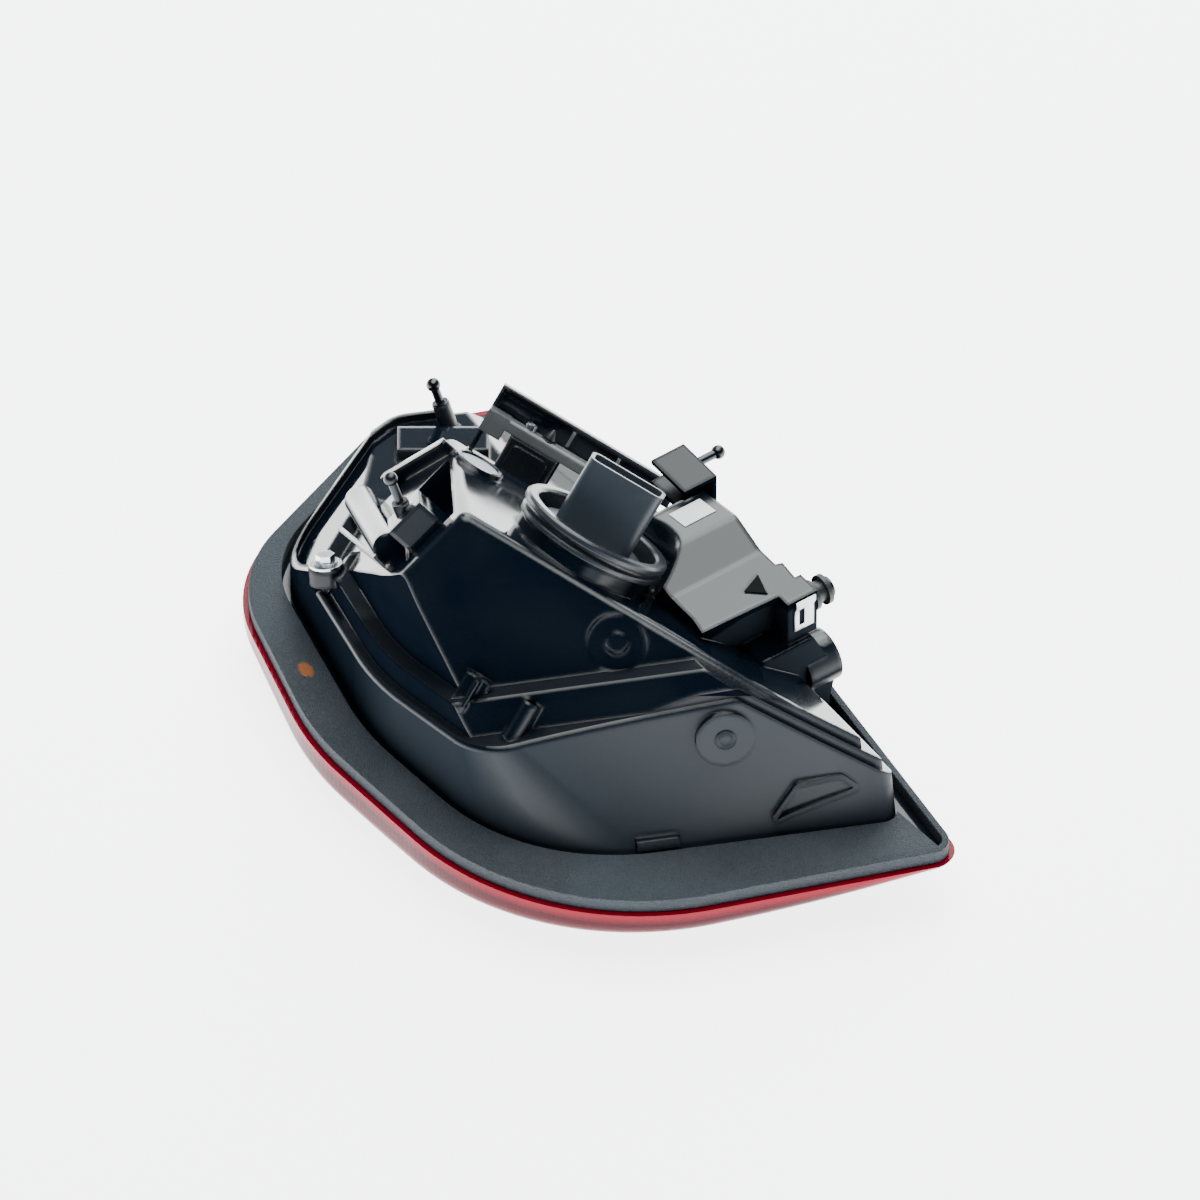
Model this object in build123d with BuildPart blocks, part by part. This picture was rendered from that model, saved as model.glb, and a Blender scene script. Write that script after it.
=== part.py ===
from build123d import *
import os
from math import atan2, cos, degrees, radians, sin

# Tail light cluster lying on its lens, as it rests on a bench. Millimetres.
# X runs along the front of the bench, Y away from it, Z up.

# Rim of the lamp, corner by corner from the pointed tip: x, y and corner radius
RIM_CORNERS = (
    (176, -102.5, 8),
    (-32.5, -157.5, 141),
    (-142.5, -21.5, 150),
    (-183, 89, 70),
    (-110, 196, 25),
    (-40, 214, 25),
    (76, 81, 60),
)
# Foot of the housing wall inside the gasket, corner by corner in the same order
FOOT_CORNERS = (
    (152, -83, 8),
    (-34, -117.5, 107),
    (-114, -21, 150),
    (-163, 98, 60),
    (-104, 189, 20),
    (-49, 203, 20),
    (69, 67.5, 60),
)
# The same wall at TERRACE_LEVEL: only the two front corners lean back
TERRACE_CORNERS = ((146, -71, 8), (-72, -71.5, 10)) + FOOT_CORNERS[2:]
TERRACE_LEVEL = 112
FLANGE_TOP = 32
FLANGE_BOTTOM = 27
WALL = 3

# Moulding direction of the housing: its lean, and the headings of lean and tower front
DRAW_LEAN = 41
DRAW_HEADING = 41
FRONT_HEADING = -22.6
PEAK = Vector(-67.5, -2.7, 175)
SHOULDER_NORMAL = Vector(-0.725, 0.277, 0.63)
TOWER_DEPTH = 126
MID_DEPTH = 90
REAR_ROOF_POINT = (0, 150, 62)
REAR_ROOF_NORMAL = (0, 0.3, 0.954)

# Terraces of the front wall: ledges rising to the right, steps between the walls
LEDGE_RISE = 0.2
LOWER_LEDGE = 98
UPPER_LEDGE = 113
STEP = 7
MID_SETBACK = 6
TOWER_SETBACK = 14
MID_DROP = 5
LOWER_DROP = 10
MID_SHOULDER = 3
LOWER_SHOULDER = 6
MOULD_RADIUS = 6
LEDGE_RADIUS = 3

# Right-hand hump that carries the brackets: its heading, ends and section heights
HUMP_HEADING = 36
HUMP_START = 24
HUMP_END = 80
HUMP_FRONT = -52
HUMP_FOLD = -26
SHELF_LEVEL = 120
HUMP_CREST = -6
CREST_LEVEL = 128
HUMP_BACK = 27
BACK_LEVEL = 122
HUMP_RADIUS = 7
SHELF_THICKNESS = 3
SHELF_RADIUS = 1
SHELF_PLAN = ((50.8, -32.5), (100.5, 0.9), (91, 17), (79, 13.6), (40, -10))
BUTTRESS_TOP = 93
BUTTRESS_FRONT = -70
BUTTRESS_FOOT = 50
BUTTRESS_PROFILE = (
    (BUTTRESS_FOOT, BUTTRESS_TOP),
    (81, BUTTRESS_TOP),
    (95, 62),
    (91, 46),
    (91, FLANGE_TOP),
    (BUTTRESS_FOOT, FLANGE_TOP),
)
END_BOSS = (-60, 66)
END_BOSS_RADIUS = 14
END_BOSS_REACH = 96

# Connector: neck on the tower's back, rubber seal, shroud and terminals
NECK_U = 61
NECK_V = 42
NECK_HEIGHT = 9
SEAL_RADIUS = 40
SEAL_WIDTH = 6.5
SEAL_GROOVE = 3.5
SEAL_TOP = 19
SEAL_LIP = 2.5
SEAL_CHAMFER = 1.2
CLEARANCE = 3
SHROUD_WIDTH = 42
SHROUD_DEPTH = 18
SHROUD_CORNER = 5
SHROUD_WALL = 2
SHROUD_HEIGHT = 40
SHROUD_FLANGE = 28
SHROUD_BASE = 3
PIN_COUNT = 6
PIN_PITCH = 5.5
PIN_SIZE = 1.5
PIN_HEIGHT = 14
CARRIER = 2

# Vent on the tower's back, platform behind it with the driver module and a rail on posts
VENT_U = -6
VENT_V = 101
VENT_RADIUS = 13.5
VENT_RIM = 2.5
VENT_HEIGHT = 2.5
MEMBRANE = 1.5
MODULE_U = 13.5
MODULE_LENGTH = 27
MODULE_DEPTH = 14
MODULE_HEIGHT = 20
COVER_HEIGHT = 6
SCREW_HEAD = 3
SCREW_SOCKET = 1.5
COVER_MARGIN = 2
COVER_START = -16
COVER_LENGTH = 58
COVER_DEPTH = 10
COVER_END = 12
PANEL_SIZE = (20, 15)
PANEL_HEIGHT = 1
PLATFORM_END = 45
PLATFORM_DROP = 60
RAIL_DEPTH = 172
RAIL_START = -16
RAIL_END = 86
RAIL_FOOT = 15
RAIL_TOP = 28
RAIL_THICKNESS = 3
RAIL_RIBS = (-14, 27, 53, 79)
RAIL_REACH = 5.2
RIB = 2.5

# Brackets on the hump: plate with two flanges, ball stud, damper stud and spring clip
BRACKET_START = 68
BRACKET_END = 88
BRACKET_REACH = 50
BRACKET_LOW = 112
BRACKET_HIGH = 129
STUD_Q = 40
STUD_Z = 123
DAMPER_Q = -58.5
DAMPER_Z = 110
DAMPER_BLOCK = 14
DAMPER_FOOT = 86
DAMPER_RADIUS = 8
DAMPER_LENGTH = 10
CLIP_LENGTH = 12
CLIP_HEIGHT = 12
CLIP_THICKNESS = 1
LABEL_T = 65
LABEL_Q = 11
LABEL_LENGTH = 19
LABEL_WIDTH = 14
LABEL_THICKNESS = 0.4
ARROW = ((72, -3.6), (78, 8.4), (83.5, -5))

# Ball studs: shank and ball, and the seats of the left and rear ones
SHANK_RADIUS = 2.3
BALL_RADIUS = 3.6
STUD_LENGTH = 14
REAR_STUD_LENGTH = 11
STUD_SEAT = 4.5
STUD_COLLAR = 1
SEAT_REACH = 5
STUD_LEAN = (-0.33, 0.29, 0.9)
REAR_STUD = (-78.7, 185, 60)

# Left shoulder, measured back from the tower's front edge and down from its top edge
POCKET_START = 14
POCKET_END = 96
POCKET_HIGH = 7
POCKET_LOW = 40
POCKET_DEPTH = 18
BLOCK_SPOT = (25, 26)
BLOCK_SIZE = (20, 22)
BLOCK_TOP = 16
BEAM = ((106, 6), (140, 46))
BEAM_HEIGHT = 7
LEFT_RIB = ((27, 53.5), (116, 76))
LEFT_RIB_HEIGHT = 4
LEFT_RIDGE = ((32, 47), (140, 64))
RIDGE_RADIUS = 8
ROOF_BLOCK = (-79, 8)
ROOF_BLOCK_SIZE = (46, 26)
ROOF_BLOCK_HEIGHT = 7
LIP_WIDTH = 3
LIP_HEIGHT = 4

# Screw on the left terrace
SCREW_POINT = (-137, 47.5, 87.5)
SCREW_LEAN = (-0.06, 0.36, 0.93)
SCREW_PAD = 9
WASHER_RADIUS = 8.4
WASHER_THICKNESS = 1.5
HEX_RADIUS = 4.9
HEX_HEIGHT = 5
HEX_FLANGE = 6
HEX_FLANGE_THICKNESS = 1

# Marks and bosses of the front walls
MARK_RADIUS = 15
MARK_DISC = 5.5
MARK_DEPTH = 0.6
MARK_U = 98.4
MARK_W = -17.9
RIGHT_WALL_POINT = (100, -92.6, 32)
RIGHT_WALL_RUN = (0.983, 0.182, 0)
RIGHT_WALL_NORMAL = (0.176, -0.95, 0.2556)
WALL_MARK = (-34.6, 63)
WALL_MARK_DEPTH = 4.5
BAR = (-71.7, 11)
BAR_LENGTH = 22
BEAD = ((-19.8, 10), (-1.5, 35), (22, 38), (33, 28), (-7.6, 15.2))
BEAD_WIDTH = 2.6
BEAD_HEIGHT = 1.8
TUBE_POINT = (-42.5, -72, 89.5)
TUBE_RADIUS = 5
TUBE_LENGTH = 18
CROSS_POINT = (-66, -57, 98)
CROSS_SPAN = 14
CROSS_LENGTH = 13

# Lens, gasket and the clearance between pieces that lie side by side
LENS_LIP = 4.5
LENS_WALL = 3
LENS_TOP = FLANGE_TOP
LENS_RADIUS = 880
LENS_EDGE = 9
LENS_FLAT = 0.8
CROWN = (-5, 25)
FIT = 0.3
TOLERANCE = 0.01
GASKET_THICKNESS = 8
GASKET_ENDS = ((160, -92), (-86, 205))
GASKET_GAP = 4
STRIP_WIDTH = 3.5

# Inside: bezel, light guide along the front, brake and reverse lamps, reflex reflector
BEZEL_THICKNESS = 2
BEZEL_MARGIN = 1
GUIDE_SETBACK = 10
GUIDE_SIZE = 6
BRAKE_LAMP = (-15, -25)
BRAKE_RADIUS = 45
BRAKE_HEIGHT = 35
REVERSE_LAMP = (-85, 90)
REVERSE_RADIUS = 28
REVERSE_HEIGHT = 26
BOARD_THICKNESS = 1.6
EMITTER_SIZE = 6
REFLEX_SPOT = (50, -62)
REFLEX_SIZE = (50, 24)
REFLEX_DEPTH = 5


def trace(corners):
    points = [(x, y) for x, y, radius in corners]
    radii = [radius for x, y, radius in corners]
    FilletPolyline(*points, radius=radii, close=True)


def prism(corners, grow, bottom, top):
    with BuildPart() as block:
        with BuildSketch(Plane.XY.offset(bottom)):
            with BuildLine():
                trace(corners)
            make_face()
            if grow:
                offset(amount=grow)
        extrude(amount=top - bottom)
    return block.part


# Planes of the moulding: tower back, tower front, left shoulder, wall and roof
draw_dir = Vector(0, 0, 1).rotate(Axis.Y, DRAW_LEAN).rotate(Axis.Z, DRAW_HEADING)
front_x = cos(radians(FRONT_HEADING))
front_y = sin(radians(FRONT_HEADING))
front_z = -(front_x * draw_dir.X + front_y * draw_dir.Y) / draw_dir.Z
draw = Plane(origin=PEAK, x_dir=(front_x, front_y, front_z), z_dir=draw_dir)
front = Plane(origin=PEAK, x_dir=draw.x_dir, z_dir=-draw.y_dir)
rear = Plane(origin=PEAK, x_dir=draw.x_dir, z_dir=draw.y_dir)
shoulder = Plane(origin=PEAK, x_dir=draw.y_dir, z_dir=SHOULDER_NORMAL)
rear_roof = Plane(origin=REAR_ROOF_POINT, x_dir=(1, 0, 0), z_dir=REAR_ROOF_NORMAL)
along = Vector(cos(radians(HUMP_HEADING)), sin(radians(HUMP_HEADING)), 0)
across = Vector(-along.Y, along.X, 0)
hump_plane = Plane(origin=(0, 0, 0), x_dir=across, z_dir=along)
side_plane = Plane(origin=(0, 0, 0), x_dir=along, z_dir=-across)
right_wall = Plane(origin=RIGHT_WALL_POINT, x_dir=RIGHT_WALL_RUN, z_dir=RIGHT_WALL_NORMAL)
left_terrace = shoulder.offset(LOWER_SHOULDER)
block_top = shoulder.from_local_coords((BLOCK_SPOT[0], BLOCK_SPOT[1], BLOCK_TOP))
left_seat = Plane(origin=block_top, x_dir=(0, 1, 0), z_dir=STUD_LEAN)
rear_seat = Plane(origin=REAR_STUD, x_dir=(0, 1, 0), z_dir=STUD_LEAN)
screw_seat = Plane(origin=SCREW_POINT, x_dir=(1, 0, 0), z_dir=SCREW_LEAN)


def ledge(height):
    return Plane(origin=(0, 0, height), x_dir=(1, 0, LEDGE_RISE), z_dir=(-LEDGE_RISE, 0, 1))


def on_planes(edge, *planes):
    spots = [edge @ part for part in (0, 0.5, 1)]
    return all(abs(plane.to_local_coords(spot).Z) < TOLERANCE for plane in planes for spot in spots)


def below_rim(edge):
    return edge.center().Z < LENS_TOP - TOLERANCE


def wall_body(inset):
    with BuildPart() as block:
        for level, corners in ((FLANGE_TOP, FOOT_CORNERS), (TERRACE_LEVEL, TERRACE_CORNERS)):
            with BuildSketch(Plane.XY.offset(level)):
                with BuildLine():
                    trace(corners)
                make_face()
                if inset:
                    offset(amount=-inset)
        loft(ruled=True)
    return block.part


def lower_terrace(inset):
    with BuildPart() as block:
        add(wall_body(inset))
        split(bisect_by=draw.offset(-LOWER_DROP - inset), keep=Keep.BOTTOM)
        split(bisect_by=shoulder.offset(LOWER_SHOULDER - inset), keep=Keep.BOTTOM)
        split(bisect_by=rear_roof.offset(-inset), keep=Keep.BOTTOM)
        split(bisect_by=ledge(LOWER_LEDGE).offset(-inset), keep=Keep.BOTTOM)
    return block.part


def upper_body(setback, slack, inset):
    with BuildPart() as block:
        add(wall_body(slack + inset))
        add(prism(TERRACE_CORNERS, -slack - inset, TERRACE_LEVEL, PEAK.Z + WALL))
        add(prism(FOOT_CORNERS, -setback - inset, FLANGE_TOP, PEAK.Z + WALL), mode=Mode.INTERSECT)
    return block.part


def mid_terrace(inset):
    with BuildPart() as block:
        add(upper_body(MID_SETBACK, RIB, inset))
        split(bisect_by=rear.offset(MID_DEPTH - inset), keep=Keep.BOTTOM)
        split(bisect_by=draw.offset(-MID_DROP - inset), keep=Keep.BOTTOM)
        split(bisect_by=shoulder.offset(MID_SHOULDER - inset), keep=Keep.BOTTOM)
        split(bisect_by=front.offset(STEP - inset), keep=Keep.BOTTOM)
        split(bisect_by=ledge(UPPER_LEDGE).offset(-inset), keep=Keep.BOTTOM)
    return block.part


def pocket(grow):
    with BuildPart() as block:
        with BuildSketch(shoulder.offset(-POCKET_DEPTH - grow)):
            with Locations(((POCKET_START + POCKET_END) / 2, (POCKET_HIGH + POCKET_LOW) / 2)):
                Rectangle(POCKET_END - POCKET_START + 2 * grow, POCKET_LOW - POCKET_HIGH + 2 * grow)
        extrude(amount=2 * POCKET_DEPTH)
    return block.part


def tower(inset):
    with BuildPart() as block:
        add(upper_body(TOWER_SETBACK, MID_DROP, inset))
        split(bisect_by=rear.offset(TOWER_DEPTH - inset), keep=Keep.BOTTOM)
        split(bisect_by=front.offset(-inset), keep=Keep.BOTTOM)
        split(bisect_by=shoulder.offset(-inset), keep=Keep.BOTTOM)
        split(bisect_by=draw.offset(-inset), keep=Keep.BOTTOM)
        add(pocket(inset), mode=Mode.SUBTRACT)
    return block.part


def platform(inset):
    with BuildPart() as block:
        low_plane = draw.offset(-PLATFORM_DROP)
        with BuildSketch(low_plane):
            with Locations(((RAIL_START + PLATFORM_END) / 2, (TOWER_DEPTH + RAIL_DEPTH - WALL) / 2)):
                Rectangle(PLATFORM_END - RAIL_START - 2 * inset, RAIL_DEPTH - TOWER_DEPTH + WALL - 2 * inset)
        extrude(amount=PLATFORM_DROP - LOWER_DROP - inset)
        split(bisect_by=rear_roof.offset(-WALL - inset), keep=Keep.TOP)
    return block.part


def hump(inset):
    with BuildPart() as block:
        with BuildSketch(hump_plane.offset(HUMP_START + inset)):
            with BuildLine():
                FilletPolyline(
                    (HUMP_FRONT, FLANGE_TOP),
                    (HUMP_FRONT, SHELF_LEVEL),
                    (HUMP_FOLD, SHELF_LEVEL),
                    (HUMP_CREST, CREST_LEVEL),
                    (HUMP_BACK, BACK_LEVEL),
                    (HUMP_BACK, FLANGE_TOP),
                    radius=[0, SHELF_RADIUS, HUMP_RADIUS, HUMP_RADIUS, HUMP_RADIUS, 0],
                    close=True,
                )
            make_face()
            if inset:
                offset(amount=-inset)
        extrude(amount=HUMP_END - HUMP_START - 2 * inset)
        with BuildSketch(draw.offset(-LOWER_DROP)):
            with Locations((NECK_U, NECK_V)):
                Circle(SEAL_RADIUS + CLEARANCE + inset)
        extrude(amount=SEAL_RADIUS, mode=Mode.SUBTRACT)
    return block.part


with BuildPart() as lower_form:
    add(lower_terrace(0))
    fillet(lower_form.edges().filter_by(lambda e: on_planes(e, ledge(LOWER_LEDGE))), LEDGE_RADIUS)

with BuildPart() as mid_form:
    add(mid_terrace(0))
    step_edges = mid_form.edges().filter_by(
        lambda e: on_planes(e, ledge(UPPER_LEDGE), front.offset(STEP))
    )
    fillet(step_edges, LEDGE_RADIUS)

with BuildPart() as tower_form:
    add(tower(0))
    tower_edges = tower_form.edges().filter_by(
        lambda e: on_planes(e, front, draw) or on_planes(e, front, shoulder) or on_planes(e, draw, shoulder)
    )
    fillet(tower_edges, MOULD_RADIUS)


def disc(plane, spot, radius, bottom, top):
    with BuildPart() as piece:
        with BuildSketch(plane.offset(bottom)):
            with Locations(spot):
                Circle(radius)
        extrude(amount=top - bottom)
    return piece.part


def block(plane, spot, size, bottom, top):
    with BuildPart() as piece:
        with BuildSketch(plane.offset(bottom)):
            with Locations(spot):
                Rectangle(*size)
        extrude(amount=top - bottom)
    return piece.part


def slab(plane, outline, bottom, top):
    with BuildPart() as piece:
        with BuildSketch(plane.offset(bottom)):
            with BuildLine():
                Polyline(*outline, close=True)
            make_face()
        extrude(amount=top - bottom)
    return piece.part


def rib(plane, start, end, width, height):
    run = Vector(*end) - Vector(*start)
    turn = degrees(atan2(run.Y, run.X))
    with BuildPart() as piece:
        with BuildSketch(plane.offset(-WALL)):
            with Locations(Location((start[0] + run.X / 2, start[1] + run.Y / 2), turn)):
                SlotOverall(run.length + width, width)
        extrude(amount=WALL + height)
    return piece.part


def ridge(plane, start, end, radius):
    run = Vector(*end) - Vector(*start)
    turn = degrees(atan2(run.Y, run.X))
    middle = plane.from_local_coords((start[0] + run.X / 2, start[1] + run.Y / 2, 0))
    with BuildPart() as piece:
        heading = plane.x_dir.rotate(Axis((0, 0, 0), plane.z_dir), turn)
        lying = Plane(origin=middle, x_dir=plane.z_dir, z_dir=heading)
        with BuildSketch(lying.offset(-run.length / 2)):
            Circle(radius)
        extrude(amount=run.length)
    return piece.part


with BuildPart() as lens_inside:
    add(prism(RIM_CORNERS, LENS_LIP - LENS_WALL, -LENS_WALL, LENS_TOP))
    with Locations((CROWN[0], CROWN[1], LENS_RADIUS)):
        Sphere(LENS_RADIUS - LENS_WALL, mode=Mode.INTERSECT)
    fillet(lens_inside.edges().filter_by(below_rim), LENS_EDGE - LENS_WALL)

with BuildPart() as flange:
    add(prism(RIM_CORNERS, LENS_LIP - LENS_WALL - FIT, FLANGE_BOTTOM, FLANGE_TOP))
    add(lens_inside.part.moved(Location((0, 0, FIT))), mode=Mode.INTERSECT)

with BuildPart() as lip:
    add(prism(FOOT_CORNERS, 0, FLANGE_TOP, TERRACE_LEVEL))
    add(prism(FOOT_CORNERS, -LIP_WIDTH, FLANGE_TOP, TERRACE_LEVEL), mode=Mode.SUBTRACT)
    split(bisect_by=left_terrace.offset(LIP_HEIGHT), keep=Keep.BOTTOM)
    split(bisect_by=rear_roof.offset(LIP_HEIGHT), keep=Keep.BOTTOM)
    split(bisect_by=Plane.XZ.offset(-SCREW_POINT[1]), keep=Keep.BOTTOM)
    split(bisect_by=Plane.YZ.offset(REAR_STUD[0]), keep=Keep.BOTTOM)

with BuildPart() as housing:
    add(flange.part)
    add(lower_form.part)
    add(mid_form.part)
    add(tower_form.part)
    add(hump(0))
    # neck of the connector, rim of the vent, ribbed rail behind the module
    neck_radius = SEAL_RADIUS - CLEARANCE
    add(disc(draw, (NECK_U, NECK_V), neck_radius, -WALL, NECK_HEIGHT))
    add(disc(draw, (VENT_U, VENT_V), VENT_RADIUS, -WALL, VENT_HEIGHT))
    add(platform(0))
    rail_length = RAIL_END - RAIL_START
    rail_mid = (RAIL_START + RAIL_END) / 2
    rail_v = RAIL_DEPTH - RAIL_THICKNESS / 2
    add(block(draw, (rail_mid, rail_v), (rail_length, RAIL_THICKNESS), RAIL_FOOT, RAIL_TOP))
    rail_lip = (rail_length, RAIL_REACH)
    add(block(draw, (rail_mid, RAIL_DEPTH - RAIL_REACH / 2), rail_lip, RAIL_TOP - RIB, RAIL_TOP))
    for rib_u in RAIL_RIBS:
        post = (RIB, RAIL_REACH)
        add(block(draw, (rib_u, RAIL_DEPTH - RAIL_REACH / 2), post, -LOWER_DROP - WALL, RAIL_TOP))
    # shelf with its arrow, buttress below and bracket behind the hump
    add(slab(Plane.XY, SHELF_PLAN, SHELF_LEVEL - SHELF_THICKNESS, SHELF_LEVEL))
    add(slab(Plane.XY, ARROW, SHELF_LEVEL, SHELF_LEVEL + MARK_DEPTH))
    add(slab(side_plane, BUTTRESS_PROFILE, -HUMP_FRONT, -BUTTRESS_FRONT))
    add(disc(hump_plane, END_BOSS, END_BOSS_RADIUS, HUMP_END - WALL, END_BOSS_REACH))
    damper_size = (DAMPER_BLOCK, SHELF_LEVEL - BUTTRESS_TOP)
    damper_mid = (DAMPER_Q, (SHELF_LEVEL + BUTTRESS_TOP) / 2)
    add(block(hump_plane, damper_mid, damper_size, BRACKET_START, DAMPER_FOOT))
    bracket_mid = ((HUMP_BACK + BRACKET_REACH) / 2 - RIB, (BRACKET_LOW + BRACKET_HIGH) / 2)
    bracket_size = (BRACKET_REACH - HUMP_BACK + 2 * RIB, BRACKET_HIGH - BRACKET_LOW)
    add(block(hump_plane, bracket_mid, bracket_size, BRACKET_START, BRACKET_END))
    slot_size = (bracket_size[0], bracket_size[1] - 2 * RIB)
    add(block(hump_plane, bracket_mid, slot_size, BRACKET_START, BRACKET_END - RIB), mode=Mode.SUBTRACT)
    # left shoulder: beam, stud block in the pocket, ribs, lip and seats, roof of the rear end
    add(rib(shoulder, *BEAM, 2 * RIB, BEAM_HEIGHT))
    add(block(shoulder, BLOCK_SPOT, BLOCK_SIZE, -POCKET_DEPTH - WALL, BLOCK_TOP))
    add(rib(left_terrace, *LEFT_RIB, RIB, LEFT_RIB_HEIGHT))
    add(ridge(left_terrace, *LEFT_RIDGE, RIDGE_RADIUS))
    add(lip.part)
    add(disc(left_seat, (0, 0), STUD_SEAT, -SEAT_REACH, SEAT_REACH))
    add(disc(rear_seat, (0, 0), STUD_SEAT, -2 * SEAT_REACH, SEAT_REACH))
    add(disc(screw_seat, (0, 0), SCREW_PAD, -SCREW_PAD, 0))
    add(block(rear_roof, ROOF_BLOCK, ROOF_BLOCK_SIZE, -WALL, ROOF_BLOCK_HEIGHT))
    # bosses, marks and beads of the front walls
    tube = Plane(origin=TUBE_POINT, x_dir=draw.x_dir, z_dir=draw_dir)
    add(disc(tube, (0, 0), TUBE_RADIUS, -TUBE_RADIUS, TUBE_LENGTH))
    cross = Plane(origin=CROSS_POINT, x_dir=draw.x_dir, z_dir=draw_dir)
    add(block(cross, (0, 0), (CROSS_SPAN, RIB), -TUBE_RADIUS, CROSS_LENGTH))
    add(block(cross, (0, 0), (RIB, CROSS_SPAN), -TUBE_RADIUS, CROSS_LENGTH))
    add(disc(right_wall.offset(-WALL_MARK_DEPTH), WALL_MARK, MARK_RADIUS, -WALL, MARK_DEPTH))
    with BuildSketch(right_wall.offset(-WALL)):
        with BuildLine():
            FilletPolyline(*BEAD, radius=WALL, close=True)
        make_face()
        offset(amount=-BEAD_WIDTH, mode=Mode.SUBTRACT)
    extrude(amount=WALL + BEAD_HEIGHT)
    add(block(right_wall, BAR, (BAR_LENGTH, 2 * BEAD_WIDTH), -2 * WALL, BEAD_HEIGHT))
    # the hollow inside, the open end below and the recesses
    add(prism(FOOT_CORNERS, -WALL, FLANGE_BOTTOM, FLANGE_TOP), mode=Mode.SUBTRACT)
    add(lower_terrace(WALL), mode=Mode.SUBTRACT)
    add(mid_terrace(WALL), mode=Mode.SUBTRACT)
    add(tower(WALL), mode=Mode.SUBTRACT)
    add(hump(WALL), mode=Mode.SUBTRACT)
    add(platform(WALL), mode=Mode.SUBTRACT)
    neck_hollow = neck_radius - 2 * WALL
    add(disc(draw, (NECK_U, NECK_V), neck_hollow, -2 * WALL, NECK_HEIGHT - WALL), mode=Mode.SUBTRACT)
    add(disc(draw, (VENT_U, VENT_V), VENT_RADIUS - VENT_RIM, 0, VENT_HEIGHT), mode=Mode.SUBTRACT)
    add(disc(tube, (0, 0), TUBE_RADIUS / 2, TUBE_RADIUS, TUBE_LENGTH), mode=Mode.SUBTRACT)
    add(disc(front, (MARK_U, MARK_W), MARK_RADIUS, -MARK_DEPTH, MARK_DEPTH), mode=Mode.SUBTRACT)
    add(disc(front, (MARK_U, MARK_W), MARK_DISC, -MARK_DEPTH, 0))

with BuildPart() as outer_lens:
    add(prism(RIM_CORNERS, LENS_LIP, -LENS_WALL, LENS_TOP))
    with Locations((CROWN[0], CROWN[1], LENS_RADIUS)):
        Sphere(LENS_RADIUS, mode=Mode.INTERSECT)
    fillet(outer_lens.edges().filter_by(below_rim), LENS_EDGE)
    # a flat spot on the crown, so that the lamp rests without rocking
    split(bisect_by=Plane.XY.offset(LENS_FLAT), keep=Keep.TOP)
    add(lens_inside.part, mode=Mode.SUBTRACT)

# Foam gasket: wide from the tip round to the rear end, a narrow strip along the right-hand edge
gasket_top = FLANGE_TOP + GASKET_THICKNESS
end_run = Vector(*GASKET_ENDS[1]) - Vector(*GASKET_ENDS[0])
end_cut = Plane(origin=GASKET_ENDS[0], x_dir=end_run, z_dir=(end_run.Y, -end_run.X, 0))
with BuildPart() as edge_strip:
    add(prism(RIM_CORNERS, LENS_LIP - LENS_WALL, FLANGE_TOP, gasket_top))
    add(prism(RIM_CORNERS, LENS_LIP - LENS_WALL - STRIP_WIDTH, FLANGE_TOP, gasket_top), mode=Mode.SUBTRACT)
    split(bisect_by=Plane.XZ.offset(-RIM_CORNERS[-1][1]), keep=Keep.TOP)

with BuildPart() as rim_gasket:
    add(prism(RIM_CORNERS, LENS_LIP - LENS_WALL, FLANGE_TOP, gasket_top))
    wall_room = prism(FOOT_CORNERS, FIT, FLANGE_TOP, gasket_top)
    add(wall_room, mode=Mode.SUBTRACT)
    add(wall_room.moved(Location((-GASKET_GAP, 0, 0))), mode=Mode.SUBTRACT)
    split(bisect_by=end_cut, keep=Keep.BOTTOM)
    add(edge_strip.part)

# Connector: ring seal on the neck, shroud inside the ring, terminals inside the shroud
with BuildPart() as connector_seal:
    neck_spot = draw.from_local_coords((NECK_U, NECK_V, 0))
    seal_plane = Plane(origin=neck_spot, x_dir=draw.x_dir, z_dir=-draw.y_dir)
    with BuildSketch(seal_plane):
        with BuildLine():
            Polyline(
                (SEAL_RADIUS - SEAL_WIDTH, NECK_HEIGHT),
                (SEAL_RADIUS - SEAL_CHAMFER, NECK_HEIGHT),
                (SEAL_RADIUS - SEAL_CHAMFER, NECK_HEIGHT + SEAL_LIP),
                (SEAL_RADIUS - SEAL_GROOVE, NECK_HEIGHT + SEAL_LIP + SEAL_CHAMFER),
                (SEAL_RADIUS - SEAL_GROOVE, SEAL_TOP - SEAL_LIP - 2 * SEAL_CHAMFER),
                (SEAL_RADIUS, SEAL_TOP - SEAL_LIP - SEAL_CHAMFER),
                (SEAL_RADIUS, SEAL_TOP - SEAL_CHAMFER),
                (SEAL_RADIUS - SEAL_CHAMFER, SEAL_TOP),
                (SEAL_RADIUS - SEAL_WIDTH + SEAL_CHAMFER, SEAL_TOP),
                (SEAL_RADIUS - SEAL_WIDTH, SEAL_TOP - SEAL_CHAMFER),
                close=True,
            )
        make_face()
    revolve(axis=Axis(seal_plane.origin, draw_dir))

with BuildPart() as connector_shroud:
    add(disc(draw, (NECK_U, NECK_V), SHROUD_FLANGE, NECK_HEIGHT, NECK_HEIGHT + SHROUD_BASE))
    with BuildSketch(draw.offset(NECK_HEIGHT)):
        with Locations((NECK_U, NECK_V)):
            RectangleRounded(SHROUD_WIDTH, SHROUD_DEPTH, SHROUD_CORNER)
    extrude(amount=SHROUD_HEIGHT)
    with BuildSketch(draw.offset(NECK_HEIGHT + SHROUD_BASE)):
        with Locations((NECK_U, NECK_V)):
            RectangleRounded(
                SHROUD_WIDTH - 2 * SHROUD_WALL, SHROUD_DEPTH - 2 * SHROUD_WALL, SHROUD_CORNER - SHROUD_WALL
            )
    extrude(amount=SHROUD_HEIGHT, mode=Mode.SUBTRACT)

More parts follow.
